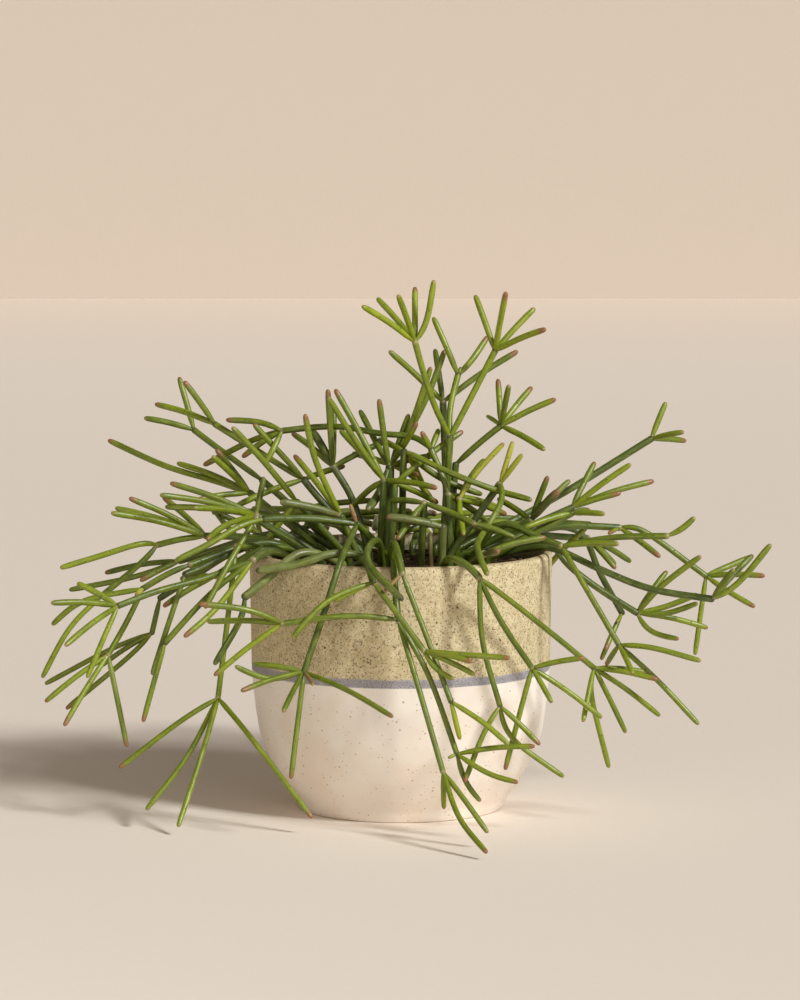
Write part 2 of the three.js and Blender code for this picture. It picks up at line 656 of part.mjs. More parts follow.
// Picks the points that a limb's line needs to stay within the tolerance of all of them.
function neededPoints(line, from, to) {
  let worst = 0;
  let at = -1;
  const start = new THREE.Vector3(...line[from]);
  const end = new THREE.Vector3(...line[to]);
  const chord = new THREE.Line3(start, end);
  const nearest = new THREE.Vector3();
  for (let k = from + 1; k < to; k += 1) {
    const point = new THREE.Vector3(...line[k]);
    chord.closestPointToPoint(point, true, nearest);
    const off = nearest.distanceTo(point);
    if (off > worst) {
      worst = off;
      at = k;
    }
  }
  if (worst <= RING_TOLERANCE) {
    return [from];
  }
  return [...neededPoints(line, from, at), ...neededPoints(line, at, to)];
}

function solidOf(geometry) {
  geometry.deleteAttribute('normal');
  geometry.deleteAttribute('uv');
  const merged = mergeVertices(geometry, 1e-4);
  const corners = merged.index.array;
  const kept = [];
  for (let i = 0; i < corners.length; i += 3) {
    const [a, b, c] = [corners[i], corners[i + 1], corners[i + 2]];
    if (a !== b && b !== c && c !== a) {
      kept.push(a, b, c);
    }
  }
  const vertProperties = new Float32Array(merged.attributes.position.array);
  const triVerts = new Uint32Array(kept);
  return new wasm.Manifold(new wasm.Mesh({ numProp: 3, vertProperties, triVerts }));
}

// Joins each limb to the one that carries on straightest from its end, so that the two are one stretch.
function stretches() {
  const follows = new Map();
  limbs.forEach((limb, index) => {
    if (limb.parent < 0) {
      return;
    }
    const before = limbs[limb.parent].line;
    const heading = direction(before.at(-2), before.at(-1));
    const straightness = heading.dot(direction(limb.line[0], limb.line[1]));
    if (straightness > STRAIGHT_ON && straightness > (follows.get(limb.parent)?.straightness ?? 0)) {
      follows.set(limb.parent, { index, straightness });
    }
  });
  const joined = new Set([...follows.values()].map(({ index }) => index));
  const found = [];
  limbs.forEach((limb, index) => {
    if (joined.has(index)) {
      return;
    }
    const stretch = [limb];
    for (let at = index; follows.has(at); at = follows.get(at).index) {
      stretch.push(limbs[follows.get(at).index]);
    }
    found.push(stretch);
  });
  return found;
}

function direction(from, to) {
  return new THREE.Vector3(...to).sub(new THREE.Vector3(...from)).normalize();
}

// A round profile turned about its own axis, then carried along a stretch of limbs: a slim base, even stems with a
// waist where one grows from another, and a rounded tip.
function stretchSolid(stretch) {
  const [first] = stretch;
  const final = stretch.at(-1);
  const start = new THREE.Vector3(...first.line[0]);
  const end = new THREE.Vector3(...final.line.at(-1));
  const outward = direction(final.line.at(-2), final.line.at(-1));
  const rings = [];
  if (first.foot) {
    rings.push([start.clone().setZ(start.z - FOOT_POINT), 0], [start, first.radius]);
  } else {
    const inward = direction(first.line[0], first.line[1]);
    rings.push([start, 0], [start.clone().addScaledVector(inward, BASE.length), BASE.width * first.radius]);
  }
  for (const limb of stretch) {
    const from = limb.foot ? 1 : 0;
    const needed = neededPoints(limb.line, from, limb.line.length - 1).slice(limb.foot ? 0 : 1);
    needed.forEach((k) => rings.push([new THREE.Vector3(...limb.line[k]), limb.radius]));
    if (limb !== final) {
      rings.push([new THREE.Vector3(...limb.line.at(-1)), WAIST * limb.radius]);
    }
  }
  if (final.children === 0) {
    const shoulder = end.clone().addScaledVector(outward, -TIP.length * final.radius);
    rings.push([shoulder, TIP.width * final.radius], [end, 0]);
  } else {
    const beyond = end.clone().addScaledVector(outward, JOINT.length * final.radius);
    rings.push([end, JOINT.width * final.radius], [beyond, 0]);
  }
  const profile = rings.map(([, width], index) => new THREE.Vector2(width * SIDE_SWELL, index));
  const geometry = new THREE.LatheGeometry(profile, STEM_SIDES);
  const frames = [];
  let side = new THREE.Vector3(1, 0, 0);
  rings.forEach(([centre], index) => {
    const before = rings[Math.max(0, index - 1)][0];
    const after = rings[Math.min(rings.length - 1, index + 1)][0];
    const tangent = after.clone().sub(before).normalize();
    if (index === 0 && Math.abs(tangent.x) > 0.8) {
      side = new THREE.Vector3(0, 1, 0);
    }
    side = side.clone().addScaledVector(tangent, -side.dot(tangent)).normalize();
    frames.push({ centre, side, other: side.clone().cross(tangent) });
  });
  const position = geometry.attributes.position;
  for (let i = 0; i < position.count; i += 1) {
    const { centre, side: across, other } = frames[Math.round(position.getY(i))];
    const place = centre.clone().addScaledVector(across, position.getX(i));
    place.addScaledVector(other, position.getZ(i));
    position.setXYZ(i, place.x, place.y, place.z);
  }
  return solidOf(geometry);
}

function meshOf(name, solid, colour, roughness) {
  const { vertProperties, triVerts, numProp } = solid.getMesh();
  const geometry = new THREE.BufferGeometry();
  const interleaved = new THREE.InterleavedBuffer(vertProperties, numProp);
  geometry.setAttribute('position', new THREE.InterleavedBufferAttribute(interleaved, 3, 0));
  geometry.setIndex(new THREE.BufferAttribute(triVerts, 1));
  const material = new THREE.MeshStandardMaterial({ color: colour, roughness, metalness: 0 });
  const mesh = new THREE.Mesh(geometry, material);
  mesh.name = name;
  return mesh;
}

// A profile of [radius, height] points turned about the pot's axis.
function turnedSolid(profile, shape = (place) => place) {
  const geometry = new THREE.LatheGeometry(profile.map(([r, z]) => new THREE.Vector2(r, z)), POT_SIDES);
  geometry.rotateX(Math.PI / 2);
  const position = geometry.attributes.position;
  for (let i = 0; i < position.count; i += 1) {
    const place = shape([position.getX(i), position.getY(i), position.getZ(i)]);
    position.setXYZ(i, ...place);
  }
  return solidOf(geometry);
}

function makePot() {
  return turnedSolid([[0, 0], ...POT_OUTSIDE, ...POT_INSIDE, [0, POT_FLOOR]]);
}

// Lumps of the soil's top, flat at the wall.
function soilLump(x, y) {
  const { reach, broad, small } = LUMPS;
  const flatter = 1 - (Math.hypot(x, y) / reach) ** 4;
  const wide = broad.height * Math.sin(broad.alongX * x + broad.shiftX) * Math.cos(broad.alongY * y);
  const fine = small.height * Math.sin(small.alongX * x + small.alongY * y);
  return flatter * (wide + fine);
}

function makeSoil() {
  const wall = POT_INSIDE.filter(([, z]) => z < SOIL_TOP)
    .map(([r, z]) => [r - SOIL_GAP, z + SOIL_GAP])
    .reverse();
  const [, above, below] = POT_INSIDE;
  const edge = mix(below[0], above[0], (SOIL_TOP - below[1]) / (above[1] - below[1])) - SOIL_GAP;
  const top = Array.from({ length: SOIL_RINGS + 1 }, (_, k) => [edge * (1 - k / SOIL_RINGS), SOIL_TOP]);
  let soil = turnedSolid([[0, POT_FLOOR + SOIL_GAP], ...wall, ...top], ([x, y, z]) =>
    z >= Math.fround(SOIL_TOP) ? [x, y, z + soilLump(x, y)] : [x, y, z],
  );
  for (const limb of limbs.filter((one) => one.foot)) {
    const radius = (limb.radius * SIDE_SWELL + HOLE_GAP) / Math.cos(Math.PI / HOLE_SIDES);
    const height = 2 * (SOIL_HIGHEST - SOIL_TOP + FOOT_DEPTH);
    const hole = new THREE.CylinderGeometry(radius, radius, height, HOLE_SIDES);
    hole.rotateX(Math.PI / 2);
    const [x, y, z] = limb.line[0];
    hole.translate(x, y, z - FOOT_POINT - HOLE_GAP + height / 2);
    soil = soil.subtract(solidOf(hole));
  }
  return soil;
}

const names = Object.keys(SHOOTS);
names.forEach((name) => {
  const { foot, limb, lean = 0 } = SHOOTS[name];
  traceLimb(name, -1, [foot[0], foot[1], SOIL_TOP - FOOT_DEPTH], limb, lean, true);
});
const draw = makeDraw(BACK.seed);
const backNames = Array.from({ length: BACK.count }, (_, k) => `back_${k + 1}`);
backNames.forEach((name, index) => growBack(name, index, draw));
spreadFeet();
limbs.forEach((limb) => liftOverLip(limb.points));
settle();
const stretched = stretches();

const group = new THREE.Group();
group.add(meshOf('pot', makePot(), COLOURS.pot, 0.5));
group.add(meshOf('soil', makeSoil(), COLOURS.soil, 0.95));
for (const name of [...names, ...backNames]) {
  const parts = stretched.filter(([first]) => first.shoot === name).map(stretchSolid);
  const shoot = parts.reduce((whole, part) => whole.add(part));
  const tone = SHOOTS[name]?.tone ?? 'fresh';
  group.add(meshOf(SHOOTS[name] ? `shoot_${name}` : name, shoot, COLOURS[tone], 0.45));
}

export default group;
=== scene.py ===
import json
import math
import bpy
import numpy as np
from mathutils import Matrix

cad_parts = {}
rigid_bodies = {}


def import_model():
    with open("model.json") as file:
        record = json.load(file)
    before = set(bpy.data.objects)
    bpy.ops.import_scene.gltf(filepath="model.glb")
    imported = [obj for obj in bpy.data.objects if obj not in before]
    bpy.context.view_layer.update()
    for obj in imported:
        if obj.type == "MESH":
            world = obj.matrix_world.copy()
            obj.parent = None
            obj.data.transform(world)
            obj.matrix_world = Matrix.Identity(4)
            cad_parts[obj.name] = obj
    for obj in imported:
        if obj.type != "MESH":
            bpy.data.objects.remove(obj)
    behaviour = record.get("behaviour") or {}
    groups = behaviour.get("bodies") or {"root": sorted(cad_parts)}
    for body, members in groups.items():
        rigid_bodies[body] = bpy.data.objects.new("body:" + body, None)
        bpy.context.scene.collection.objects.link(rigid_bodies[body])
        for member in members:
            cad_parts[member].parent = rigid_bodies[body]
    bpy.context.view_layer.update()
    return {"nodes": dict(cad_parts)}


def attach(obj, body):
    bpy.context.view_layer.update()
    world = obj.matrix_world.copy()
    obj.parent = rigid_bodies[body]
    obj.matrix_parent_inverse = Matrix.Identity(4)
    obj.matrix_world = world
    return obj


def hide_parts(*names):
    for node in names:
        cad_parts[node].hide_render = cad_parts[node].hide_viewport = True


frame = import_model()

# A potted rhipsalis neves-armondii. Lengths are worked out in millimetres and put into the meshes in metres.
mm = 0.001
print("frame loaded:", len(frame["nodes"]), "nodes")

# The viewer's place in mm and degrees, and the photograph's 800 by 1000 frame in pixels.
eye = {"x": -0.4, "y": -2200.0, "z": 390.0, "down": 6.1}
photo = {"centreU": 400.0, "centreV": 500.0, "focal": 4415.0, "height": 1000.0, "leanReach": 360.0}

potShape = {
    # radius and height of points on the outer wall, from the foot up to the rim, then down the inside
    "outside": [[51, 0], [52.8, 4], [58.9, 13], [64.7, 22], [69, 32], [71.3, 40], [72.8, 49], [74, 60],
                [75.1, 73], [76, 127.6], [75.2, 129.4], [73.6, 130]],
    "inside": [[72, 129.3], [71.2, 127], [70.4, 74], [67.6, 46], [59, 22], [46, 8]],
    "height": 130.0,
    "floor": 7.0,
    "lipRadius": 73.4,
    "lipHeight": 127.3,
    "lipHalfWidth": 2.8,
}
soilShape = {
    "top": 121.5, "gap": 0.35, "highest": 124.6, "reach": 71.0,
    # two waves over the top: a height in mm, and turns in radians for each mm along X and Y
    "broad": {"height": 1.5, "alongX": 0.19, "shiftX": 1.3, "alongY": 0.23},
    "small": {"height": 0.9, "alongX": 0.41, "alongY": 0.36},
}
stemShape = {
    "radius": 1.55,
    "footDepth": 10.0,
    "footTop": 126.5,
    "bow": 0.035,
    "thickness": {"grey": 1.35, "old": 1.14, "yellow": 0.9, "dry": 0.75, "bud": 0.75},
    # a limb that hangs low is slimmer: from full width at one height of its end to a share of it at the other
    "hanging": {"from": 125.0, "to": 70.0, "width": 0.87},
}
# How the stems keep clear of each other, of the pot and of the surface it stands on.
settling = {
    "step": 4.5, "stemMargin": 2.4, "potMargin": 1.25, "floorMargin": 2.4, "overLip": 4.2,
    "rounds": 100, "lastRounds": 30, "sideways": 0.5, "stiffness": 0.5, "hold": 0.05,
    "feetApart": 8.4, "feetReach": 60.0,
    # a smooth line is measured in that many cuts to a span; near pairs are looked for again every few rounds, in
    # blocks of that many points, with some mm to spare
    "cuts": 12, "refresh": 5, "block": 400, "slack": 10,
}

# The shoots that the photograph shows. A limb is [point, ..., limb, ...]: the limbs in it grow from its last point.
# A point is [u, v, depth]: its pixel in the photograph, and how far it lies behind the pot's axis in mm.
# Points on the way may leave their depth out. A word in a limb says how old it is. "foot" is [x, y] in the soil,
# and "lean" is how much further back a shoot lies where it is leanReach pixels out from the pot's axis.
shoots = {
    "tall_pale": {"tone": "pale", "foot": [23, -8], "limb":
    [[450, 437, -6],
      [[437, 412], [425, 378], [415, 342, -14],
        [[362, 306, -32]], [[377, 298, 0]], [[398, 295, -30]], [[415, 287, 0]], [[426, 326], [434, 280, -16]]],
      [[449, 411], [458, 375, 8],
        [[433, 317, 16]], [[471, 362], [488, 336, 24]], [[461, 367, 10], "bud"]],
      [[467, 405], [495, 351, -2],
        [[475, 295, 10]], [[506, 292, -22]], [[535, 308, 8]], [[546, 329, -20]], [[500, 331, -4], "bud"]]]},
    "tall_dark": {"tone": "dark", "foot": [24, 14], "limb":
    [[443, 402, 16], [[389, 351, 8]], [[435, 349, 30]], [[518, 351, 26]]]},
    "centre": {"tone": "fresh", "foot": [-6, 10], "limb":
    [[391, 465, 4],
      [[410, 428], [431, 367, -6]], [[425, 401], [445, 350, 14]], [[417, 422, -10]], [[409, 414, 4]],
      [[352, 453, 20]], [[418, 474, -12], "yellow"], [[412, 474], [434, 503, 16]]]},
    "centre_right": {"tone": "fresh", "foot": [26, 2], "lean": -10, "limb":
    [[456, 465, 4],
      [[501, 426, 0],
        [[498, 379, 10]], [[509, 385, -12]], [[532, 387, 16]], [[556, 399, -4]], [[487, 416, 14], "bud"],
        [[545, 450, -18]]]]},
    "old_post": {"tone": "dark", "foot": [-7, -4], "limb":
    [[389, 467, -6], "old",
      [[384, 436], [379, 399, -10]], [[377, 498], [368, 511, -24], "grey"], [[360, 410, 12]], [[436, 456, 10]]]},
    "arch": {"tone": "fresh", "foot": [25, -14], "limb":
    [[452, 495, -14],
      [[499, 507, 4]], [[488, 521, -6]],
      [[431, 450, -10],
        [[421, 431, -14]], [[439, 429, -2]],
        [[419, 439], [385, 437], [350, 428], [320, 427], [282, 431, 12],
          [[262, 422], [226, 420, 22]], [[250, 442], [203, 466, 34]], [[243, 456, 24]], [[265, 464, 6]]]]]},
    "left_high": {"tone": "fresh", "foot": [-20, 12], "lean": 25, "limb":
    [[303, 480, 8],
      [[250, 446], [215, 424, 16], [[184, 381, 10]], [[155, 404, 26]]],
      [[254, 423, 0]], [[236, 506, -10]], [[345, 466, 12]]]},
    "left_high_back": {"tone": "dark", "foot": [-30, 22], "lean": 62, "limb":
    [[262, 480, 28], [[215, 446], [194, 430, 32], [[179, 377, 36]], [[144, 418, 22]]]]},
    "left_inner": {"tone": "fresh", "foot": [-26, -6], "lean": -14, "limb":
    [[297, 502, -10], [[232, 427, -20]], [[262, 548, -14]]]},
    "left_front_high": {"tone": "fresh", "foot": [-20, -22], "limb":
    [[341, 516, -24], [[315, 460], [305, 414, -34]], [[280, 502, -36], "grey"], [[294, 455, -6]]]},
    "left_middle": {"tone": "dark", "foot": [-16, 6], "limb":
    [[353, 500], [333, 467, 6],
      [[328, 389, 2]], [[334, 407, 14]], [[312, 430, 22], "grey"], [[292, 433, 30]],
      [[358, 454], [387, 441, 20]]]},
    "centre_left": {"tone": "fresh", "foot": [-10, -12], "limb":
    [[384, 480, -16],
      [[355, 440], [328, 397, -26]], [[335, 389, -12]], [[340, 430, 0]], [[352, 507, 4]], [[437, 488, -34]]]},
    "left_whip": {"tone": "fresh", "foot": [-36, 14], "lean": 22, "limb":
    [[250, 493, 22],
      [[215, 481], [165, 466], [108, 440, 48]], [[177, 463, 38]], [[216, 449, 16]], [[212, 456, 8]],
      [[197, 500, 6]]]},
    "left_fan": {"tone": "dark", "foot": [-42, -4], "lean": -26, "limb":
    [[256, 516, -2],
      [[170, 483, 4]], [[160, 495, -14]], [[193, 508, -20]], [[225, 525], [207, 540, -30]], [[264, 477, 4]],
      [[165, 507, 12]]]},
    "left_far": {"tone": "fresh", "foot": [-46, 10], "lean": 8, "limb":
    [[206, 536, 12],
      [[129, 498, 2]], [[163, 497, 26]], [[111, 513, -6]], [[115, 508, 14]],
      [[157, 545, 10],
        [[145, 542], [100, 556], [60, 568, -6]],
        [[147, 558], [104, 594, 2], [[70, 627], [42, 678, -14]]]]]},
    "long_lying": {"tone": "dark", "foot": [-2, -28], "limb":
    [[357, 524, -42], "old",
      [[264, 519, -52], "old", [[240, 525], [215, 541], [175, 561, -72]]],
      [[341, 560, -72], [326, 607, -80], [304, 672, -88], "old",
        [[269, 680], [235, 666, -102]], [[253, 664, -86]], [[241, 691, -110]], [[283, 712, -114]],
        [[291, 779, -102]], [[393, 717, -120]], [[313, 685, -108], "dry"]],
      [[350, 504, -42], "dry"]]},
    "left_front_low": {"tone": "dark", "foot": [-40, -24], "limb": [[256, 518, -38], [[205, 608, -62]]]},
    "curtain": {"tone": "fresh", "foot": [-52, -8], "limb":
    [[236, 548, -30],
      [[230, 600], [218, 698, -44],
        [[182, 720], [119, 768, -56]], [[187, 757], [146, 810, -70]], [[202, 754], [178, 827, -86]],
        [[248, 734], [312, 818, -84]]]]},
    "thick_grey": {"tone": "grey", "foot": [-28, -40], "limb":
    [[315, 552], [283, 566], [245, 597, -62], "grey", [[243, 616], [214, 665, -66], "old"]]},
    "grey_short": {"tone": "grey", "foot": [-16, -46], "limb":
    [[355, 556, -58], [312, 563, -62], [256, 571, -60], "grey"]},
    "rim_left": {"tone": "fresh", "foot": [-52, -18], "lean": -26, "limb":
    [[253, 560, -36], "grey",
      [[200, 580], [160, 590], [118, 606, -52],
        [[77, 583, -42]], [[51, 603, -64]], [[65, 646, -74]], [[105, 635], [87, 678, -62]]],
      [[217, 608], [184, 637, -52]],
      [[210, 594], [165, 643, -44], [[143, 722, -50]]]]},
    "front_main": {"tone": "fresh", "foot": [-2, -52], "limb":
    [[393, 563, -78], [398, 620, -88],
      [[349, 616], [282, 624, -96], [[250, 610], [199, 604, -106]], [[207, 622, -92]], [[214, 676, -100]]],
      [[416, 679], [443, 772, -108],
        [[444, 809, -104]], [[459, 818], [487, 853, -150]], [[464, 799], [488, 833, -122]]],
      [[429, 676], [457, 754, -98],
        [[535, 746, -106]], [[489, 774], [518, 782, -112]], [[466, 785], [481, 803, -106]],
        [[448, 758, -100], "bud"]]]},
    "front_second": {"tone": "fresh", "foot": [-20, -46], "limb":
    [[369, 568, -78], [373, 582, -84],
      [[326, 601], [292, 638, -100]], [[334, 601, -90]],
      [[396, 612], [424, 651, -98],
        [[455, 654], [510, 658, -116]], [[472, 662, -112]], [[475, 675, -106]],
        [[435, 670], [454, 679, -102]]]]},
    "front_third": {"tone": "pale", "foot": [-4, -60], "limb":
    [[393, 538], [398, 556, -78], [402, 574, -84],
      [[424, 630], [451, 702, -102], [[460, 740, -102]], [[484, 723], [509, 745, -110]]],
      [[384, 590, -90], "dry"]]},
    "front_loop": {"tone": "dark", "foot": [-12, -44], "limb":
    [[378, 538, -62], [365, 553, -76], [373, 571, -84], [403, 600, -94]]},
    "right_front": {"tone": "fresh", "foot": [20, -56], "limb":
    [[450, 558, -76], [465, 561, -80], [480, 577, -84],
      [[482, 640], [500, 706, -90],
        [[485, 730], [463, 782, -102]], [[540, 745, -94]], [[502, 722], [515, 742], [564, 777, -84]]],
      [[500, 620], [532, 668, -78],
        [[584, 658, -84]], [[505, 770, -86]], [[552, 703, -88]], [[602, 718, -74]]],
      [[540, 624], [594, 668, -58],
        [[651, 673, -50]], [[658, 679, -64]], [[660, 716, -48]], [[626, 733, -58]],
        [[590, 690], [609, 768, -60]], [[583, 722, -74]]]]},
    "dry_stub": {"tone": "grey", "foot": [15, -20], "limb": [[430, 532, -20], "dry"]},
    "cut_end": {"tone": "dark", "foot": [34, -46], "limb":
    [[484, 554, -60], "grey", [[499, 551, -72], "grey"], [[512, 543], [546, 537, -52]]]},
    "right_low": {"tone": "fresh", "foot": [36, -14], "lean": -32, "limb":
    [[500, 522], [530, 534], [561, 546, -22],
      [[667, 536, -26], [[680, 532], [695, 517, -24]]],
      [[619, 544, -30]],
      [[583, 583], [619, 645, -40],
        [[650, 647], [701, 661, -50]], [[633, 674, -56]], [[699, 725, -40]], [[606, 665, -28]]]]},
    "right_spread": {"tone": "fresh", "foot": [40, 2], "lean": -8, "limb":
    [[552, 556], [600, 590], [637, 613, -2],
      [[648, 632], [679, 639, -10]], [[708, 628, 8]], [[667, 571, 12]], [[661, 586], [701, 556, -12]],
      [[663, 608], [698, 594, 2]], [[663, 615], [698, 603, -6]]]},
    "right_tip": {"tone": "dark", "foot": [42, -6], "lean": -42, "limb":
    [[597, 568], [650, 589], [712, 599, -14],
      [[735, 587], [771, 544, -8]], [[753, 555, 8]], [[734, 569, -24]]]},
    "right_far": {"tone": "fresh", "foot": [36, 8], "lean": 24, "limb":
    [[530, 532], [572, 525], [619, 527, 12],
      [[640, 528], [706, 576, 6],
        [[717, 571], [753, 556, 18]], [[765, 576, -4]], [[727, 591], [755, 607, -12]], [[695, 655, 0]]],
      [[660, 557, -2]], [[608, 533, 4], "bud"]]},
    "right_back_low": {"tone": "dark", "foot": [34, 24], "lean": 58, "limb":
    [[578, 530], [598, 570], [622, 613, 22], [[605, 650, 12]], [[601, 660, 26]], [[617, 622, 16], "bud"]]},
    "right_high": {"tone": "fresh", "foot": [28, 24], "lean": 46, "limb":
    [[555, 498], [651, 439, 32], [[666, 402, 36]], [[684, 432, 18]], [[686, 441, 40]]]},
    "right_middle": {"tone": "fresh", "foot": [36, 14], "lean": 26, "limb":
    [[572, 508, 12], [[631, 464, 6]], [[654, 481, 20]], [[595, 462, 24]], [[621, 493, 10]]]},
    "right_inner": {"tone": "dark", "foot": [28, 0], "limb":
    [[531, 520, -4], [[548, 476, -10]], [[570, 480, 6]], [[559, 490, -14], "grey"], [[497, 499, 8]]]},
    "front_high": {"tone": "fresh", "foot": [26, -10], "limb":
    [[455, 497, -14], [[504, 443, -22], "yellow"], [[484, 459, 6]], [[506, 514, 0]], [[463, 535, -34]]]},
    "old_right": {"tone": "dark", "foot": [24, -26], "limb":
    [[448, 558], [501, 485, -22], "old", [[513, 442, -24], "yellow"], [[523, 455, -28], "yellow"],
      [[502, 503], [482, 533, -52], [477, 550, -74], [487, 576, -88]]]},
    "leaning": {"tone": "dark", "foot": [0, 4], "limb":
    [[405, 450, -8], [[459, 476], [532, 500, -28]], [[378, 438, 8]], [[424, 488, 8], "yellow"],
      [[440, 478], [482, 494, 6]]]},
    "crossing": {"tone": "fresh", "foot": [-6, -18], "limb": [[394, 483, -14], [[463, 431, 2]], [[438, 503, -2]]]},
    "right_cluster": {"tone": "fresh", "foot": [42, -14], "lean": -14, "limb":
    [[572, 513, -4], [[524, 528, -18]], [[605, 514, -12]], [[590, 511, 6], "grey"]]},
    "right_back": {"tone": "dark", "foot": [36, 20], "lean": 68, "limb":
    [[588, 537, 22], [[631, 562, 30]], [[606, 553, 26]], [[616, 565, 18]], [[616, 569, 10]]]},
    "short_front": {"tone": "dark", "foot": [10, -30], "limb":
    [[424, 503, -34], [[474, 524, -48], [[515, 538, -50]]], [[390, 500, -20]], [[397, 540, -52]]]},
    "grey_cut": {"tone": "grey", "foot": [20, -38], "limb": [[443, 527, -44], "grey", [[386, 517, -46], "grey"]]},
    "left_hanging": {"tone": "fresh", "foot": [-48, 0], "lean": -34, "limb":
    [[190, 565, -8],
      [[143, 589, -10],
        [[82, 601], [52, 625, 8]], [[136, 596, -20], "yellow"],
        [[128, 620], [108, 655, -18], [[127, 747, -28]], [[64, 726, -34]], [[45, 702, -24]]]]]},
    "left_hanging_back": {"tone": "dark", "foot": [-46, 16], "lean": 48, "limb":
    [[160, 598, 20],
      [[152, 633, 18], [[111, 649], [45, 684, 26]], [[131, 655], [66, 709, 10]], [[98, 668, 14]]]]},
    "left_back": {"tone": "dark", "foot": [-44, 20], "lean": 66, "limb":
    [[180, 561, 26], [[105, 573, 32]], [[134, 577], [69, 590, 16]], [[140, 581, 8]]]},
    "left_drop": {"tone": "fresh", "foot": [-42, -14], "limb":
    [[215, 575, -34], [[163, 607, -46]], [[179, 577, -30]]]},
    "left_thin": {"tone": "dark", "foot": [-48, -6], "lean": -50, "limb":
    [[185, 575, -12], [[168, 625], [152, 675, -20]]]},
}

# The shoots on the side that the photograph doesn't show, laid out by a rule, turning about the pot's axis. Turns
# and rises are in degrees, lengths in mm, and a pair is a range to draw from.
backShoots = {
    "count": 8, "from": 20, "to": 160, "seed": 1911, "stray": 0.6,
    "footRadius": [34, 52], "jointRadius": [58, 84], "jointHeight": [134, 148],
    "inners": 2, "arms": 3, "tips": [1, 1.8],
    "inner": {"turn": 40, "rise": [-4, 14], "length": [38, 60], "bow": 1.2},
    "arm": {"turn": 40, "rise": [-24, 6], "length": [30, 52], "bow": 1.2},
    "tip": {"turn": 34, "rise": [-86, -26], "length": [34, 62], "bow": 1.6},
    # how far to the side a limb may reach below and above a height, and how near to the axis it may come
    "sideReach": 66, "highReach": 96, "sideHeight": 136, "wallReach": 84,
}


def mix(start, end, share):
    return start + (end - start) * share


def makeDraw(seed):
    # repeatable draws between 0 and 1
    factor, step, size = 1664525, 1013904223, 2 ** 32
    state = [seed]

    def draw():
        state[0] = (state[0] * factor + step) % size
        return state[0] / size
    return draw


def placeOf(u, v, depth):
    # the place in mm of a pixel of the photograph at a given depth
    down = math.radians(eye["down"])
    away = depth - eye["y"]
    z = eye["z"] + away * math.tan(math.atan((photo["centreV"] - v) / photo["focal"]) - down)
    forward = away * math.cos(down) + (eye["z"] - z) * math.sin(down)
    return [eye["x"] + (u - photo["centreU"]) / photo["focal"] * forward, depth, z]


def bowed(start, end, lift=1):
    # the middle of a limb that was given by its two ends only: raised, the more so the flatter the limb lies
    flat = math.hypot(end[0] - start[0], end[1] - start[1])
    rise = lift * stemShape["bow"] * flat
    return [(start[0] + end[0]) / 2, (start[1] + end[1]) / 2, (start[2] + end[2]) / 2 + rise]


def radiusOf(age, end):
    # a limb is thicker or thinner by its age, and slimmer the lower it hangs
    hanging = stemShape["hanging"]
    share = max(0, min(1, (hanging["from"] - end[2]) / (hanging["from"] - hanging["to"])))
    return stemShape["radius"] * stemShape["thickness"].get(age, 1) * mix(1, hanging["width"], share)


limbs = []


def addLimb(shoot, parent, points, age="", foot=False):
    # a foot is as thick as an old limb where nothing else is said
    limbs.append({"shoot": shoot, "parent": parent, "points": points, "age": age, "foot": foot, "children": 0,
                  "radius": radiusOf("old" if foot and not age else age, points[-1])})
    if parent >= 0:
        limbs[parent]["children"] += 1
    return len(limbs) - 1


def traceLimb(shoot, parent, start, limb, lean, foot=False):
    # adds a limb of the table above, and then the limbs that grow from its last point
    given = [item for item in limb if isinstance(item, list) and not isinstance(item[0], list)]
    grown = [item for item in limb if isinstance(item, list) and isinstance(item[0], list)]
    age = next((item for item in limb if isinstance(item, str)), "")
    points = [list(start)]
    depth = start[1] if parent < 0 else limbs[parent]["depth"]
    waiting = []
    for pixel in given:
        waiting.append(pixel)
        if len(pixel) == 3:
            for index, way in enumerate(waiting):
                share = (index + 1) / len(waiting)
                back = lean * abs(way[0] - photo["centreU"]) / photo["leanReach"]
                points.append(placeOf(way[0], way[1], mix(depth, pixel[2], share) + back))
            depth = pixel[2]
            waiting = []
    end = points[-1]
    if foot:
        points.insert(1, [start[0], start[1], stemShape["footTop"]])
    elif len(points) == 2:
        points.insert(1, bowed(start, end))
    own = addLimb(shoot, parent, points, age, foot)
    limbs[own]["depth"] = depth
    for child in grown:
        traceLimb(shoot, own, end, child, lean)


def keptBehind(place):
    # a limb of a hidden shoot stays behind the pot where it hangs lower than the rim
    reach = backShoots["sideReach"] if place[2] < backShoots["sideHeight"] else backShoots["highReach"]
    x = max(-reach, min(reach, place[0]))
    nearest = math.sqrt(max(0, backShoots["wallReach"] ** 2 - x ** 2))
    return [x, max(place[1], nearest), place[2]]


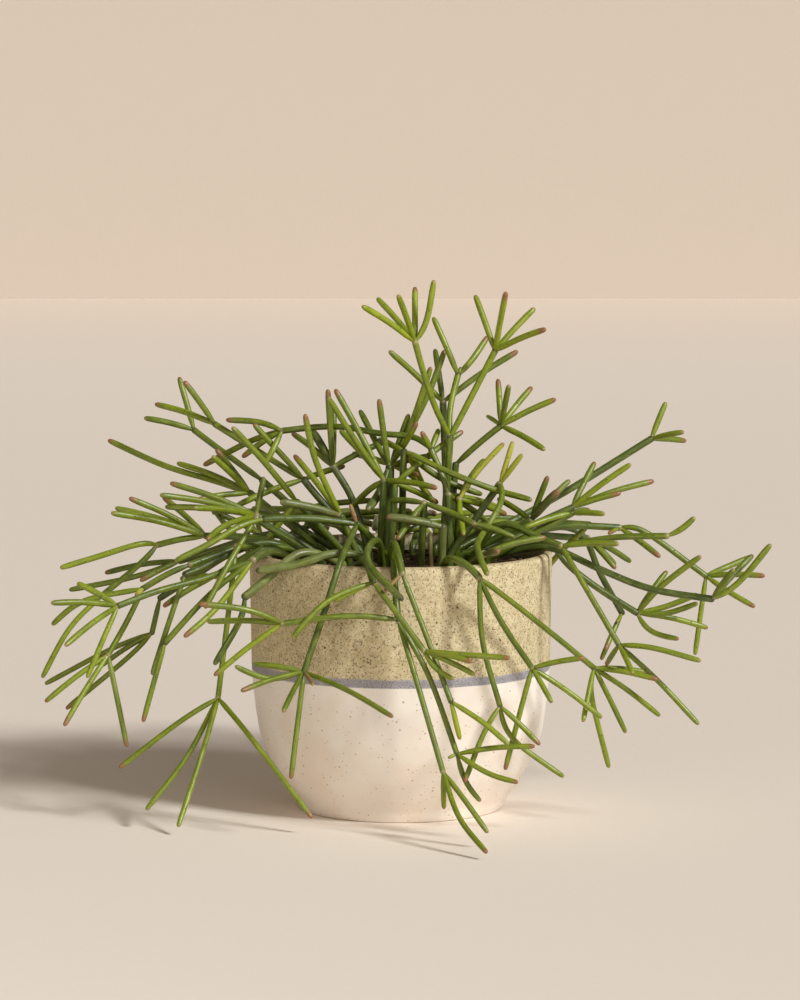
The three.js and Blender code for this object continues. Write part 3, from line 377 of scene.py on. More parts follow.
def growBack(shoot, index, draw):
    rule = backShoots

    def between(pair):
        return mix(pair[0], pair[1], draw())

    def fan(kind, parent, start, way, count):
        # limbs that spread from one joint; each is drawn only when it is asked for
        for number in range(count):
            spread = number - (count - 1) / 2 + (draw() - 0.5) * rule["stray"]
            turn = way + spread * math.radians(rule[kind]["turn"])
            rise = math.radians(between(rule[kind]["rise"]))
            length = between(rule[kind]["length"])
            flat = length * math.cos(rise)
            end = [start[0] + flat * math.cos(turn), start[1] + flat * math.sin(turn),
                   start[2] + length * math.sin(rise)]
            if kind != "inner":
                end = keptBehind(end)
            yield addLimb(shoot, parent, [start, bowed(start, end, rule[kind]["bow"]), end]), end, turn

    turn = math.radians(mix(rule["from"], rule["to"], (index + 0.5) / rule["count"]))
    footRadius = between(rule["footRadius"])
    foot = [footRadius * math.cos(turn), footRadius * math.sin(turn), soilShape["top"] - stemShape["footDepth"]]
    jointRadius = between(rule["jointRadius"])
    joint = [jointRadius * math.cos(turn), jointRadius * math.sin(turn), between(rule["jointHeight"])]
    trunk = addLimb(shoot, -1, [foot, [foot[0], foot[1], stemShape["footTop"]], joint], foot=True)
    list(fan("inner", trunk, joint, turn + math.pi, rule["inners"]))
    for arm, armEnd, armTurn in fan("arm", trunk, joint, turn, rule["arms"]):
        list(fan("tip", arm, armEnd, armTurn, math.floor(between(rule["tips"]) + 0.5)))


def along(points, positions):
    # A smooth line through the points: in each span a cubic whose slopes come from the points on either side.
    points = np.asarray(points, dtype=float)
    ends = np.vstack([2 * points[0] - points[1], points, 2 * points[-1] - points[-2]])
    span = np.minimum(np.floor(positions).astype(int), len(points) - 2)
    t = (positions - span)[:, None]
    a, b, c, d = (ends[span + k] for k in range(4))
    return b + 0.5 * t * (c - a + t * (2 * a - 5 * b + 4 * c - d + t * (3 * (b - c) + d - a)))


def measured(points, cuts):
    # the smooth line, cut into that many pieces to a span, and the length up to each of its places
    dense = along(points, np.arange((len(points) - 1) * cuts + 1) / cuts)
    return dense, np.concatenate([[0], np.cumsum(np.linalg.norm(np.diff(dense, axis=0), axis=1))])


def placesAt(wanted, dense, reach):
    return np.column_stack([np.interp(wanted, reach, dense[:, k]) for k in range(3)])


def evenSteps(points):
    # the same line in steps of nearly equal length
    dense, reach = measured(points, settling["cuts"])
    steps = max(2, math.floor(reach[-1] / settling["step"] + 0.5))
    return placesAt(reach[-1] * np.arange(steps + 1) / steps, dense, reach)


def spreadFeet():
    # moves the feet apart until their holes in the soil keep a wall between them
    feet = [limb for limb in limbs if limb["foot"]]
    place = np.array([limb["points"][0][:2] for limb in feet], dtype=float)
    for _ in range(settling["rounds"]):
        apart = place[:, None] - place[None]
        distance = np.sqrt((apart ** 2).sum(axis=2))
        np.fill_diagonal(distance, np.inf)
        share = np.maximum(0, 0.5 * (settling["feetApart"] / distance - 1))
        place = place + (apart * share[..., None]).sum(axis=1)
        place *= np.minimum(1, settling["feetReach"] / np.linalg.norm(place, axis=1))[:, None]
    for limb, (x, y) in zip(feet, place):
        for point in limb["points"][:2]:
            point[0], point[1] = x, y


def liftOverLip(points):
    # adds a point over the pot's lip to a limb that crosses it too low
    lip, lifted = potShape["lipRadius"], potShape["height"] + settling["overLip"]
    for k in range(len(points) - 1, 0, -1):
        here, there = points[k - 1], points[k]
        outHere, outThere = math.hypot(here[0], here[1]), math.hypot(there[0], there[1])
        if outHere < lip < outThere:
            share = (lip - outHere) / (outThere - outHere)
            if mix(here[2], there[2], share) < lifted:
                points.insert(k, [mix(here[0], there[0], share), mix(here[1], there[1], share), lifted])


def clearOfPot(places, radii):
    # moves points out of the lip, the wall, the soil and the surface under the pot
    tiny = 0.001
    places[:, 2] = np.maximum(places[:, 2], radii + settling["floorMargin"])
    out = np.hypot(places[:, 0], places[:, 1])
    offLip, overLip = out - potShape["lipRadius"], places[:, 2] - potShape["lipHeight"]
    fromLip = np.hypot(offLip, overLip)
    needed = potShape["lipHalfWidth"] + radii + settling["potMargin"]
    atLip = fromLip < needed
    fromBelow = atLip & (overLip < 0) & (offLip < potShape["lipHalfWidth"])
    fromSide = atLip & ~fromBelow
    atWall = ~atLip & (overLip < 0) & (offLip > 0)
    overSoil = ~atLip & ~atWall & (out < potShape["lipRadius"])
    grow = needed / np.maximum(fromLip, tiny) - 1
    walls, heights = np.array(potShape["outside"]).T
    wall = np.interp(places[:, 2], heights, walls) + radii + settling["potMargin"]
    wider = np.where(fromSide, (out + offLip * grow) / out, np.where(atWall & (out < wall), wall / out, 1.0))
    places[:, 2] += np.where(fromBelow, needed - fromLip, 0) + np.where(fromSide, overLip * grow, 0)
    places[:, :2] *= wider[:, None]
    lowest = soilShape["highest"] + radii
    places[:, 2] = np.where(overSoil, np.maximum(places[:, 2], lowest), places[:, 2])


def nearPairs(places, owners, reach):
    # the pairs of points of different shoots that are near each other
    first, second = [], []
    for start in range(0, len(places), settling["block"]):
        block = places[start:start + settling["block"]]
        square = sum((block[:, None, k] - places[None, :, k]) ** 2 for k in range(3))
        i, j = np.nonzero(square < reach ** 2)
        i += start
        keep = (i < j) & (owners[i] != owners[j])
        first.append(i[keep])
        second.append(j[keep])
    return np.concatenate(first), np.concatenate(second)


def settle():
    # Bends the shoots clear of each other and of the pot. Each limb keeps its bends, like a springy rod, and stays
    # near its place in the photograph, so what moves is mostly its depth.
    places, owners, radii, sunk, middles, bends, ends, edges = [], [], [], [], [], [], [], []
    shootNumbers = {name: number for number, name in enumerate(dict.fromkeys(limb["shoot"] for limb in limbs))}
    for limb in limbs:
        points = limb["points"]
        steps = np.vstack([points[:1], evenSteps(points[1:])]) if limb["foot"] else evenSteps(points)
        grown = limb["parent"] >= 0
        ids = [limbs[limb["parent"]]["ids"][-1]] if grown else []
        for index in range(len(ids), len(steps)):
            ids.append(len(places))
            places.append(steps[index])
            owners.append(shootNumbers[limb["shoot"]])
            radii.append(limb["radius"])
            sunk.append(limb["foot"] and index < 2)
        limb["ids"] = ids
        for k in range(1, len(ids) - 1):
            if not sunk[ids[k]]:
                middles.append([ids[k - 1], ids[k], ids[k + 1]])
                bends.append((steps[k - 1] + steps[k + 1]) / 2 - steps[k])
        ends.append([ids[-2], ids[-1]])
        edges.append(steps[-1] - steps[-2])
    places, owners, radii, sunk = np.array(places), np.array(owners), np.array(radii), np.array(sunk)
    middles, bends, ends, edges = np.array(middles), np.array(bends), np.array(ends), np.array(edges)
    first, free, tiny = places.copy(), ~sunk, 0.001
    for turn in range(settling["rounds"]):
        if turn % settling["refresh"] == 0:
            one, other = nearPairs(places, owners, 2 * radii.max() + settling["stemMargin"] + settling["slack"])
        early = turn < settling["rounds"] - settling["lastRounds"]
        between = places[other] - places[one]
        distance = np.maximum(np.sqrt((between ** 2).sum(axis=1)), tiny)
        apart = radii[one] + radii[other] + settling["stemMargin"]
        side = settling["sideways"] if early else 1
        moved = between * np.maximum(0, 0.5 * (apart - distance) / distance)[:, None] * np.array([side, 1, side])
        push = np.column_stack([np.bincount(other, moved[:, k], len(places))
                                - np.bincount(one, moved[:, k], len(places)) for k in range(3)])
        places[free] += push[free]
        if early:
            still = places.copy()
            wanted = (still[middles[:, 0]] + still[middles[:, 2]]) / 2 - bends
            places[middles[:, 1]] += settling["stiffness"] * (wanted - still[middles[:, 1]])
            places[ends[:, 1]] += settling["stiffness"] * (still[ends[:, 0]] + edges - still[ends[:, 1]])
            for k in (0, 2):
                places[free, k] += settling["hold"] * (first[free, k] - places[free, k])
        loose = places[free]
        clearOfPot(loose, radii[free])
        places[free] = loose
    for limb in limbs:
        limb["line"] = places[limb["ids"]]


for name, shoot in shoots.items():
    start = [*shoot["foot"], soilShape["top"] - stemShape["footDepth"]]
    traceLimb("shoot_" + name, -1, start, shoot["limb"], shoot.get("lean", 0), True)
backDraw = makeDraw(backShoots["seed"])
for index in range(backShoots["count"]):
    growBack(f"back_{index + 1}", index, backDraw)
spreadFeet()
for limb in limbs:
    liftOverLip(limb["points"])
settle()
print("shoots settled:", len(limbs), "limbs")


def makeMesh(name, places, quads, triangles, uvs=None, attributes=None, smooth=True):
    # places in mm; the loops of the uv array follow the quads and then the triangles
    mesh = bpy.data.meshes.new(name)
    mesh.from_pydata((places * mm).tolist(), [], quads.tolist() + triangles.tolist())
    mesh.polygons.foreach_set("use_smooth", np.full(len(mesh.polygons), smooth))
    if uvs is not None:
        mesh.uv_layers.new(name="UVMap").data.foreach_set("uv", uvs.ravel().astype(np.float32))
    for label, values in (attributes or {}).items():
        mesh.attributes.new(label, "FLOAT", "POINT").data.foreach_set("value", values.astype(np.float32))
    mesh.update()
    made = bpy.data.objects.new(name, mesh)
    bpy.context.scene.collection.objects.link(made)
    return made


def tubeFaces(rings, sides, first=0):
    # quads between neighbouring rings, and a fan from a pole at each end; the poles come after the rings
    ring, side = np.meshgrid(np.arange(rings - 1), np.arange(sides), indexing="ij")
    ring, side = ring.ravel(), side.ravel()
    after = (side + 1) % sides
    quads = np.column_stack([ring * sides + side, ring * sides + after,
                             (ring + 1) * sides + after, (ring + 1) * sides + side])
    k = np.arange(sides)
    last, start, end = (rings - 1) * sides, rings * sides, rings * sides + 1
    fans = np.vstack([np.column_stack([np.full(sides, start), (k + 1) % sides, k]),
                      np.column_stack([np.full(sides, end), last + k, last + (k + 1) % sides])])
    return quads + first, fans + first


def tubePlaces(centres, radii, sides):
    # Each ring is centre + radius * (cos(turn) * side + sin(turn) * other), and both directions lie across the line.
    # "side" is the direction that the line turns least towards, made square to the line at each ring.
    tangents = np.gradient(centres, axis=0)
    tangents /= np.linalg.norm(tangents, axis=1)[:, None]
    still = np.linalg.svd(tangents, full_matrices=False)[2][2]
    side = still - tangents * (tangents @ still)[:, None]
    side /= np.linalg.norm(side, axis=1)[:, None]
    other = np.cross(tangents, side)
    turn = 2 * np.pi * np.arange(sides) / sides
    ring = side[:, None] * np.cos(turn)[:, None] + other[:, None] * np.sin(turn)[:, None]
    places = centres[:, None] + radii[:, None, None] * ring
    return places.reshape(-1, 3)


def smoothStep(low, high, value):
    t = np.clip((value - low) / (high - low), 0, 1)
    return t * t * (3 - 2 * t)


def softNoise(x, y, size, seed):
    # random heights between -1 and 1 on a square lattice of that size, blended smoothly between its corners
    corners = 160
    lattice = np.random.default_rng(seed).uniform(-1, 1, (corners, corners))
    a, b = np.floor(x / size).astype(int), np.floor(y / size).astype(int)
    s, t = smoothStep(0, 1, x / size - a), smoothStep(0, 1, y / size - b)
    a, b, c, d = a % corners, b % corners, (a + 1) % corners, (b + 1) % corners
    near = lattice[a, b] * (1 - s) + lattice[c, b] * s
    far = lattice[a, d] * (1 - s) + lattice[c, d] * s
    return near * (1 - t) + far * t


stemFinish = {
    "sides": 14,
    "spacing": 2.2,       # mm between rings
    "smoothing": 3,       # rounds of easing the settled line
    "cuts": 8,            # cuts to a span when the line is measured
    "middleWidth": 1.02,  # a limb that is neither a foot nor a tip is a little thicker
    "slimBase": 0.62,     # width of a stem where it grows from the last one, as a share of the full width
    "baseLength": 7.0,
    "baseMost": 0.45,     # but no more than this share of the limb
    "baseRings": [0.0, 0.1, 0.24, 0.42, 0.68],
    "club": 0.06,         # how much thicker a stem is near its end than near its base
    "clubMiddle": 0.6,    # where it has its plain width
    "taper": 0.2,         # how much a growing tip narrows over its last mm
    "taperLength": 6.0,
    "tipLength": 1.3,     # length of the rounded tip in radii
    "tipRings": 6,
    "tipPower": 0.85,     # under 1 makes the rounded end blunter
    "knuckleReach": 0.8,  # how far a knuckle goes past its joint, and the length of its round end, in radii
    "knuckleLength": 0.95,
    "tones": {"pale": -0.18, "fresh": 0.0, "dark": 0.14, "grey": 0.3},
    "ages": {"foot": 0.72, "middle": 0.5, "tip": 0.26, "grey": 1.2, "old": 0.85, "yellow": -0.45, "dry": 2.0,
             "bud": 0.0},
    "ageStray": 0.13,
    "seed": 73,
}


def stemLine(limb):
    # the settled line, eased, then measured
    line = limb["line"].copy()
    first = 2 if limb["foot"] else 1
    for _ in range(stemFinish["smoothing"]):
        eased = (line[:-2] + 2 * line[1:-1] + line[2:]) / 4
        line[first:-1] = eased[first - 1:]
    return measured(line, stemFinish["cuts"])


def stemRings(limb):
    # Ring places along the stem, close together at both ends, with their widths: slim base, shaft that thickens a
    # little towards the end, and a round end whose radius is that of an ellipse.
    dense, reach = stemLine(limb)
    total = reach[-1]
    isTip = limb["children"] == 0
    place = "foot" if limb["foot"] else "tip" if isTip else "middle"
    radius = limb["radius"] * (stemFinish["middleWidth"] if place == "middle" else 1)
    tipLength = stemFinish["tipLength"] * radius
    if not isTip:
        # the end of a stem that others grow from is a round knuckle about the joint
        heading = dense[-1] - dense[-2]
        heading /= np.linalg.norm(heading)
        dense = np.vstack([dense, dense[-1] + heading * stemFinish["knuckleReach"] * radius])
        total += stemFinish["knuckleReach"] * radius
        reach = np.append(reach, total)
        tipLength = stemFinish["knuckleLength"] * radius
    baseLength = min(stemFinish["baseLength"], stemFinish["baseMost"] * total)
    shaft = total - tipLength - baseLength
    count = max(2, int(shaft / stemFinish["spacing"]))
    turn = np.linspace(0, np.pi / 2, stemFinish["tipRings"], endpoint=False)
    at = np.concatenate([
        baseLength * np.array(stemFinish["baseRings"]),
        baseLength + shaft * np.arange(count) / count,
        total - tipLength + tipLength * np.sin(turn),
    ])
    width = np.ones(len(at)) * (1 + stemFinish["club"] * (at / total - stemFinish["clubMiddle"]))
    if not limb["foot"]:
        width *= mix(stemFinish["slimBase"], 1, smoothStep(0, baseLength, at))
    if isTip:
        width *= 1 - stemFinish["taper"] * smoothStep(total - stemFinish["taperLength"], total, at)
    width[-len(turn):] *= np.cos(turn) ** stemFinish["tipPower"]
    return placesAt(at, dense, reach), width * radius, at, total, dense[[0, -1]], place


def makeShoot(name, tone, random):
    # One closed tube for each limb of the shoot, all in one mesh. The uv map gives the turn and the length along the
    # limb in mm, and the attributes give its age, the length left to its end, whether it is a tip, and a draw.
    ages, sides = stemFinish["ages"], stemFinish["sides"]
    parts = {"places": [], "quads": [], "fans": [], "quadUvs": [], "fanUvs": []}
    values = {"stemAge": [], "stemEnd": [], "stemTip": [], "stemDraw": []}
    count = 0
    for limb in limbs:
        if limb["shoot"] != name:
            continue
        centres, radii, at, total, poles, place = stemRings(limb)
        rings = len(centres)
        parts["places"] += [tubePlaces(centres, radii, sides), poles]
        quads, fans = tubeFaces(rings, sides, count)
        parts["quads"].append(quads)
        parts["fans"].append(fans)
        ring, side = np.meshgrid(np.arange(rings - 1), np.arange(sides), indexing="ij")
        ring, side = ring.ravel(), side.ravel()
        around = np.column_stack([side, side + 1, side + 1, side]) / sides
        up = np.column_stack([at[ring], at[ring], at[ring + 1], at[ring + 1]])
        parts["quadUvs"].append(np.dstack([around, up]).reshape(-1, 2))
        k = np.arange(sides)
        startUvs = np.dstack([np.column_stack([k + 0.5, k + 1, k]) / sides, np.zeros((sides, 3))])
        endUvs = np.dstack([np.column_stack([k + 0.5, k, k + 1]) / sides, np.full((sides, 3), total)])
        parts["fanUvs"].append(np.vstack([startUvs, endUvs]).reshape(-1, 2))
        stray = stemFinish["ageStray"] * random.uniform(-1, 1)
        age = ages.get(limb["age"], ages[place] + stemFinish["tones"][tone]) + stray
        amount = rings * sides + 2
        values["stemAge"].append(np.full(amount, age))
        values["stemEnd"].append(np.concatenate([np.repeat(total - at, sides), [total, 0]]))
        values["stemTip"].append(np.full(amount, 1.0 if place == "tip" else 0.0))
        values["stemDraw"].append(np.full(amount, random.uniform()))
        count += amount
    joined = {label: np.concatenate(pieces) for label, pieces in parts.items()}
    uvs = np.concatenate([joined["quadUvs"], joined["fanUvs"]])
    attributes = {label: np.concatenate(pieces) for label, pieces in values.items()}
    return makeMesh(name + "_stems", joined["places"], joined["quads"], joined["fans"], uvs, attributes)


potFinish = {
    "around": 192,
    "bandLow": 70.5,      # heights of the grey band, between the cream glaze and the bare stoneware
    "bandHigh": 74.6,
    "glazeThick": 0.14,   # what the glaze stands out, and how far above and below its edge it slopes
    "glazeEdge": 0.25,
    "bandThick": 0.06,
    "bandEdge": 0.3,
    "ease": 3.0,          # mm over which the wall's profile is rounded, in that many samples
    "easeSamples": 9,
    "foot": [[0, 0], [20, 0], [40, 0], [50.1, 0], [50.7, 0.05], [51.2, 0.35], [51.7, 1.0], [52.2, 2.1]],
    # from, to and number of the rows of the wall, which are closer at the band, and of the inside
    "wallRows": [[3.2, 70, 52], [70.2, 75.2, 26], [76, 126.4, 30]],
    "insideRows": [126.2, 12, 40],
    # the lip is the upper half of an ellipse, without the last bit at either end
    "lip": {"radius": 73.55, "halfWidth": 2.33, "height": 127.35, "rise": 2.6, "left": 0.05, "rows": 17},
    "floorRadii": [40, 20, 0],
}


def lathe(profile, around):
    # each place is (radius * cos(turn), radius * sin(turn), height); the first and last rows are poles on the axis
    turn = 2 * np.pi * np.arange(around) / around
    rows = profile[1:-1]
    rings = np.stack([rows[:, :1] * np.cos(turn), rows[:, :1] * np.sin(turn),
                      np.repeat(rows[:, 1:], around, axis=1)], axis=2).reshape(-1, 3)
    poles = np.array([[0, 0, profile[0, 1]], [0, 0, profile[-1, 1]]])
    quads, fans = tubeFaces(len(rows), around)
    return np.vstack([rings, poles]), quads, fans


def easedWall(points, heights):
    # the wall's radius at each height: straight between the points, then averaged over a few mm
    points = np.array(points)
    order = np.argsort(points[:, 1])
    share = np.linspace(-1, 1, potFinish["easeSamples"])
    least = 0.01
    weights = np.cos(share * np.pi / 2) ** 2 + least
    samples = np.interp(heights[:, None] + share * potFinish["ease"], points[order, 1], points[order, 0])
    return (samples * weights).sum(axis=1) / weights.sum()


def makePot():
    finish = potFinish
    wallHeights = np.concatenate([np.linspace(*rows) for rows in finish["wallRows"]])
    walls = easedWall(potShape["outside"][1:-2], wallHeights)
    low, high, soft, hard = finish["bandLow"], finish["bandHigh"], finish["glazeEdge"], finish["bandEdge"]
    walls += finish["glazeThick"] * (smoothStep(low + soft, low - soft, wallHeights) - 1)
    walls += finish["bandThick"] * smoothStep(high + hard, high - hard, wallHeights)
    lip = finish["lip"]
    turn = np.linspace(lip["left"], np.pi - lip["left"], lip["rows"])
    lipRows = np.column_stack([lip["radius"] + lip["halfWidth"] * np.cos(turn),
                               lip["height"] + lip["rise"] * np.sin(turn)])
    insideHeights = np.linspace(*finish["insideRows"])
    inside = easedWall(potShape["inside"][1:], insideHeights)
    profile = np.vstack([finish["foot"], np.column_stack([walls, wallHeights]), lipRows,
                         np.column_stack([inside, insideHeights]),
                         [[radius, potShape["floor"]] for radius in finish["floorRadii"]]])
    return makeMesh("pot_glazed", *lathe(profile, finish["around"]))


soilFinish = {
    "around": 160,
    "rings": 60,
    "rough": [[7.0, 0.9], [2.6, 0.6], [1.1, 0.35]],   # size and height of the crumbs in mm
    "flatEdge": 3.0,      # the crumbs grow flatter in the last mm before the wall
    "bottom": 8.0,
    "bottomRadius": 30.0,
    "bevel": 2.0,
    "wallRows": [10, 120.7, 14],
    "seed": 41,
}


def soilHeight(x, y):
    # two crossing waves, flat at the wall, with crumbs of three sizes on them
    reach = soilShape["reach"]
    out = np.hypot(x, y)
    flatter = 1 - (out / reach) ** 4
    broad, small = soilShape["broad"], soilShape["small"]
    waves = broad["height"] * np.sin(broad["alongX"] * x + broad["shiftX"]) * np.cos(broad["alongY"] * y)
    waves = waves + small["height"] * np.sin(small["alongX"] * x + small["alongY"] * y)
    crumbs = sum(height * softNoise(x, y, size, soilFinish["seed"] + k)
                 for k, (size, height) in enumerate(soilFinish["rough"]))
    return soilShape["top"] + flatter * waves + np.clip((reach - out) / soilFinish["flatEdge"], 0, 1) * crumbs


def makeSoil():
    # a lumpy disc down to the pot's floor: rows of [radius, height] turned, with the top rows lifted by soilHeight
    finish, level = soilFinish, soilShape["top"]
    inside = np.array(potShape["inside"])
    order = np.argsort(inside[:, 1])
    wallHeights = np.linspace(*finish["wallRows"])
    wall = np.interp(wallHeights, inside[order, 1], inside[order, 0]) - soilShape["gap"]
    bottom = [[0, finish["bottom"]], [finish["bottomRadius"], finish["bottom"]],
              [wall[0] - finish["bevel"], finish["bottom"]]]
    radii = wall[-1] * (1 - np.arange(finish["rings"]) / finish["rings"])
    top = np.column_stack([radii, np.full(len(radii), level)])
    profile = np.vstack([bottom, np.column_stack([wall, wallHeights]), top, [[0, level]]])
    places, quads, fans = lathe(profile, finish["around"])
    isTop = places[:, 2] > level - 0.1
    places[isTop, 2] = soilHeight(places[isTop, 0], places[isTop, 1])
    return makeMesh("soil_crumbled", places, quads, fans)


def spotsOnSoil(random, count, reach):
    turn = random.uniform(0, 2 * np.pi, count)
    out = reach * np.sqrt(random.uniform(0, 1, count))
    x, y = out * np.cos(turn), out * np.sin(turn)
    return np.column_stack([x, y, soilHeight(x, y)])


chipShape = {
    "count": 420, "sides": 6, "rings": 3, "reach": 66,
    "rise": 0.7,                    # how far up and down the outer rings of a bit lie, in radians
    "size": [0.7, 2.6], "stretch": [1.5, 0.8, 0.45], "dent": [0.75, 1.15], "tilt": 0.6,
}


def makeChips():
    # bits of bark: round grids stretched by three lengths, turned at random, with dented corners
    random = np.random.default_rng(soilFinish["seed"])
    count, sides, rings, tilt = (chipShape[label] for label in ("count", "sides", "rings", "tilt"))
    rise = np.linspace(-chipShape["rise"], chipShape["rise"], rings)
    turn = 2 * np.pi * np.arange(sides) / sides
    ring = np.stack([np.cos(rise)[:, None] * np.cos(turn), np.cos(rise)[:, None] * np.sin(turn),
                     np.repeat(np.sin(rise)[:, None], sides, axis=1)], axis=2).reshape(-1, 3)
    lump = np.vstack([ring, [[0, 0, -1], [0, 0, 1]]])
    sizes = random.uniform(*chipShape["size"], (count, 3)) * chipShape["stretch"]
    shaped = lump[None] * sizes[:, None] * random.uniform(*chipShape["dent"], (count, len(lump), 1))
    turns, tilts = random.uniform(0, 2 * np.pi, count), random.uniform(-tilt, tilt, count)
    c, s, ct, st = (angle[:, None] for angle in (np.cos(turns), np.sin(turns), np.cos(tilts), np.sin(tilts)))
    x, y, z = shaped[..., 0] * ct + shaped[..., 2] * st, shaped[..., 1], shaped[..., 2] * ct - shaped[..., 0] * st
    spots = spotsOnSoil(random, count, chipShape["reach"])
    places = np.stack([x * c - y * s, x * s + y * c, z], axis=2) + spots[:, None]
    quads, fans = tubeFaces(rings, sides)
    first = (np.arange(count) * len(lump))[:, None, None]
    draws = np.repeat(random.uniform(0, 1, count), len(lump))
    return makeMesh("soil_bark", places.reshape(-1, 3), (quads + first).reshape(-1, 4), (fans + first).reshape(-1, 3),
                    attributes={"chipDraw": draws})


fibreShape = {
    "count": 130, "sides": 5, "rings": 9, "reach": 58,
    "length": [7, 22], "bend": [-0.5, 0.5], "thickness": [0.14, 0.34],
    "lift": 0.6, "arch": 1.2, "taper": 1.05,
}


def makeFibres():
    # thin roots lying on the soil: bent lines carried along as slim tubes
    random = np.random.default_rng(soilFinish["seed"] + 7)
    count, sides, rings = (fibreShape[label] for label in ("count", "sides", "rings"))
    middles = spotsOnSoil(random, count, fibreShape["reach"])
    share = np.linspace(-0.5, 0.5, rings)
    places, quads, fans, draws = [], [], [], []
    for index in range(count):
        turn, length = random.uniform(0, np.pi), random.uniform(*fibreShape["length"])
        bend, thick = random.uniform(*fibreShape["bend"]), random.uniform(*fibreShape["thickness"])
        x = middles[index, 0] + length * (share * np.cos(turn) - bend * share ** 2 * np.sin(turn))
        y = middles[index, 1] + length * (share * np.sin(turn) + bend * share ** 2 * np.cos(turn))
        arch = fibreShape["arch"] * np.cos(share * np.pi) * random.uniform(0, 1)
        centres = np.column_stack([x, y, soilHeight(x, y) + thick * fibreShape["lift"] + arch])
        tube = tubePlaces(centres, np.full(rings, thick) * (fibreShape["taper"] - np.abs(share)), sides)
        some, others = tubeFaces(rings, sides, index * (rings * sides + 2))
        places.append(np.vstack([tube, centres[[0, -1]]]))
        quads.append(some)
        fans.append(others)
        draws.append(np.full(rings * sides + 2, random.uniform()))
    return makeMesh("soil_fibres", np.vstack(places), np.vstack(quads), np.vstack(fans),
                    attributes={"chipDraw": np.concatenate(draws)})


def colour(red, green, blue):
    # a colour read off a screen, 0 to 255, as the shaders' linear values
    share = np.array([red, green, blue]) / 255
    linear = np.where(share <= 0.04045, share / 12.92, ((share + 0.055) / 1.055) ** 2.4)
    return (*linear.tolist(), 1.0)


class Value:
    # a number, place or colour in a shader; arithmetic with it adds the nodes that work the result out
    def __init__(self, tree, socket):
        self.tree = tree
        self.socket = socket

    def __add__(self, other):
        return maths("ADD", self, other)

    def __radd__(self, other):
        return maths("ADD", other, self)

    def __sub__(self, other):
        return maths("SUBTRACT", self, other)

    def __rsub__(self, other):
        return maths("SUBTRACT", other, self)

    def __mul__(self, other):
        return maths("MULTIPLY", self, other)

    def __truediv__(self, other):
        return maths("DIVIDE", self, other)

    def __rtruediv__(self, other):
        return maths("DIVIDE", other, self)


def addNode(tree, kind, inputs=None, **settings):
    # a new node's outputs, by number and by name
    made = tree.nodes.new(kind)
    for label, setting in settings.items():
        setattr(made, label, setting)
    for label, given in (inputs or {}).items():
        if isinstance(given, Value):
            tree.links.new(given.socket, made.inputs[label])
        else:
            made.inputs[label].default_value = given
    outputs = {output.name: Value(tree, output) for output in made.outputs}
    return outputs | {number: Value(tree, output) for number, output in enumerate(made.outputs)}


def feed(node, values):
    for label, value in values.items():
        value.tree.links.new(value.socket, node.inputs[label])


def maths(operation, *values):
    tree = next(value.tree for value in values if isinstance(value, Value))
    return addNode(tree, "ShaderNodeMath", dict(enumerate(values)), operation=operation)[0]


def ranged(value, fromLow, fromHigh, toLow=0.0, toHigh=1.0, smooth=True):
    return addNode(value.tree, "ShaderNodeMapRange", {0: value, 1: fromLow, 2: fromHigh, 3: toLow, 4: toHigh},
                   interpolation_type="SMOOTHSTEP" if smooth else "LINEAR")[0]


def blended(share, first, second):
    return addNode(share.tree, "ShaderNodeMix", {0: share, 6: first, 7: second}, data_type="RGBA")[2]


def noiseOf(place, size, detail=3.0, roughness=0.55):
    # soft noise with features of that size in mm, where the place is in metres
    return addNode(place.tree, "ShaderNodeTexNoise", {"Vector": place, "Scale": 1 / (size * mm), "Detail": detail,
                                                      "Roughness": roughness})[0]


def rampOf(value, stops):
    made = value.tree.nodes.new("ShaderNodeValToRGB")
    feed(made, {0: value})
    elements = made.color_ramp.elements
    for index, (position, shade) in enumerate(stops):
        element = elements[index] if index < 2 else elements.new(position)
        element.position = position
        element.color = colour(*shade)
    return Value(value.tree, made.outputs[0])


def newGroup(name, inputs, outputs):
    # inputs are numbers with their usual values, outputs are kinds of socket
    group = bpy.data.node_groups.new(name, "ShaderNodeTree")
    for label, usual in inputs.items():
        group.interface.new_socket(label, in_out="INPUT", socket_type="NodeSocketFloat").default_value = usual
    for label, kind in outputs.items():
        group.interface.new_socket(label, in_out="OUTPUT", socket_type="NodeSocket" + kind)
    return group, addNode(group, "NodeGroupInput"), group.nodes.new("NodeGroupOutput")


def useGroup(tree, group, inputs):
    return addNode(tree, "ShaderNodeGroup", inputs, node_tree=group)


def newMaterial(name, plain):
    made = bpy.data.materials.new(name)
    made.use_nodes = True
    shader = made.node_tree.nodes["Principled BSDF"]
    for label, value in plain.items():
        shader.inputs[label].default_value = value
    return made, made.node_tree, shader


def addBump(shader, height, distance):
    feed(shader, {"Normal": addNode(height.tree, "ShaderNodeBump", {"Height": height, "Distance": distance,
                                                                    "Strength": 1.0})[0]})


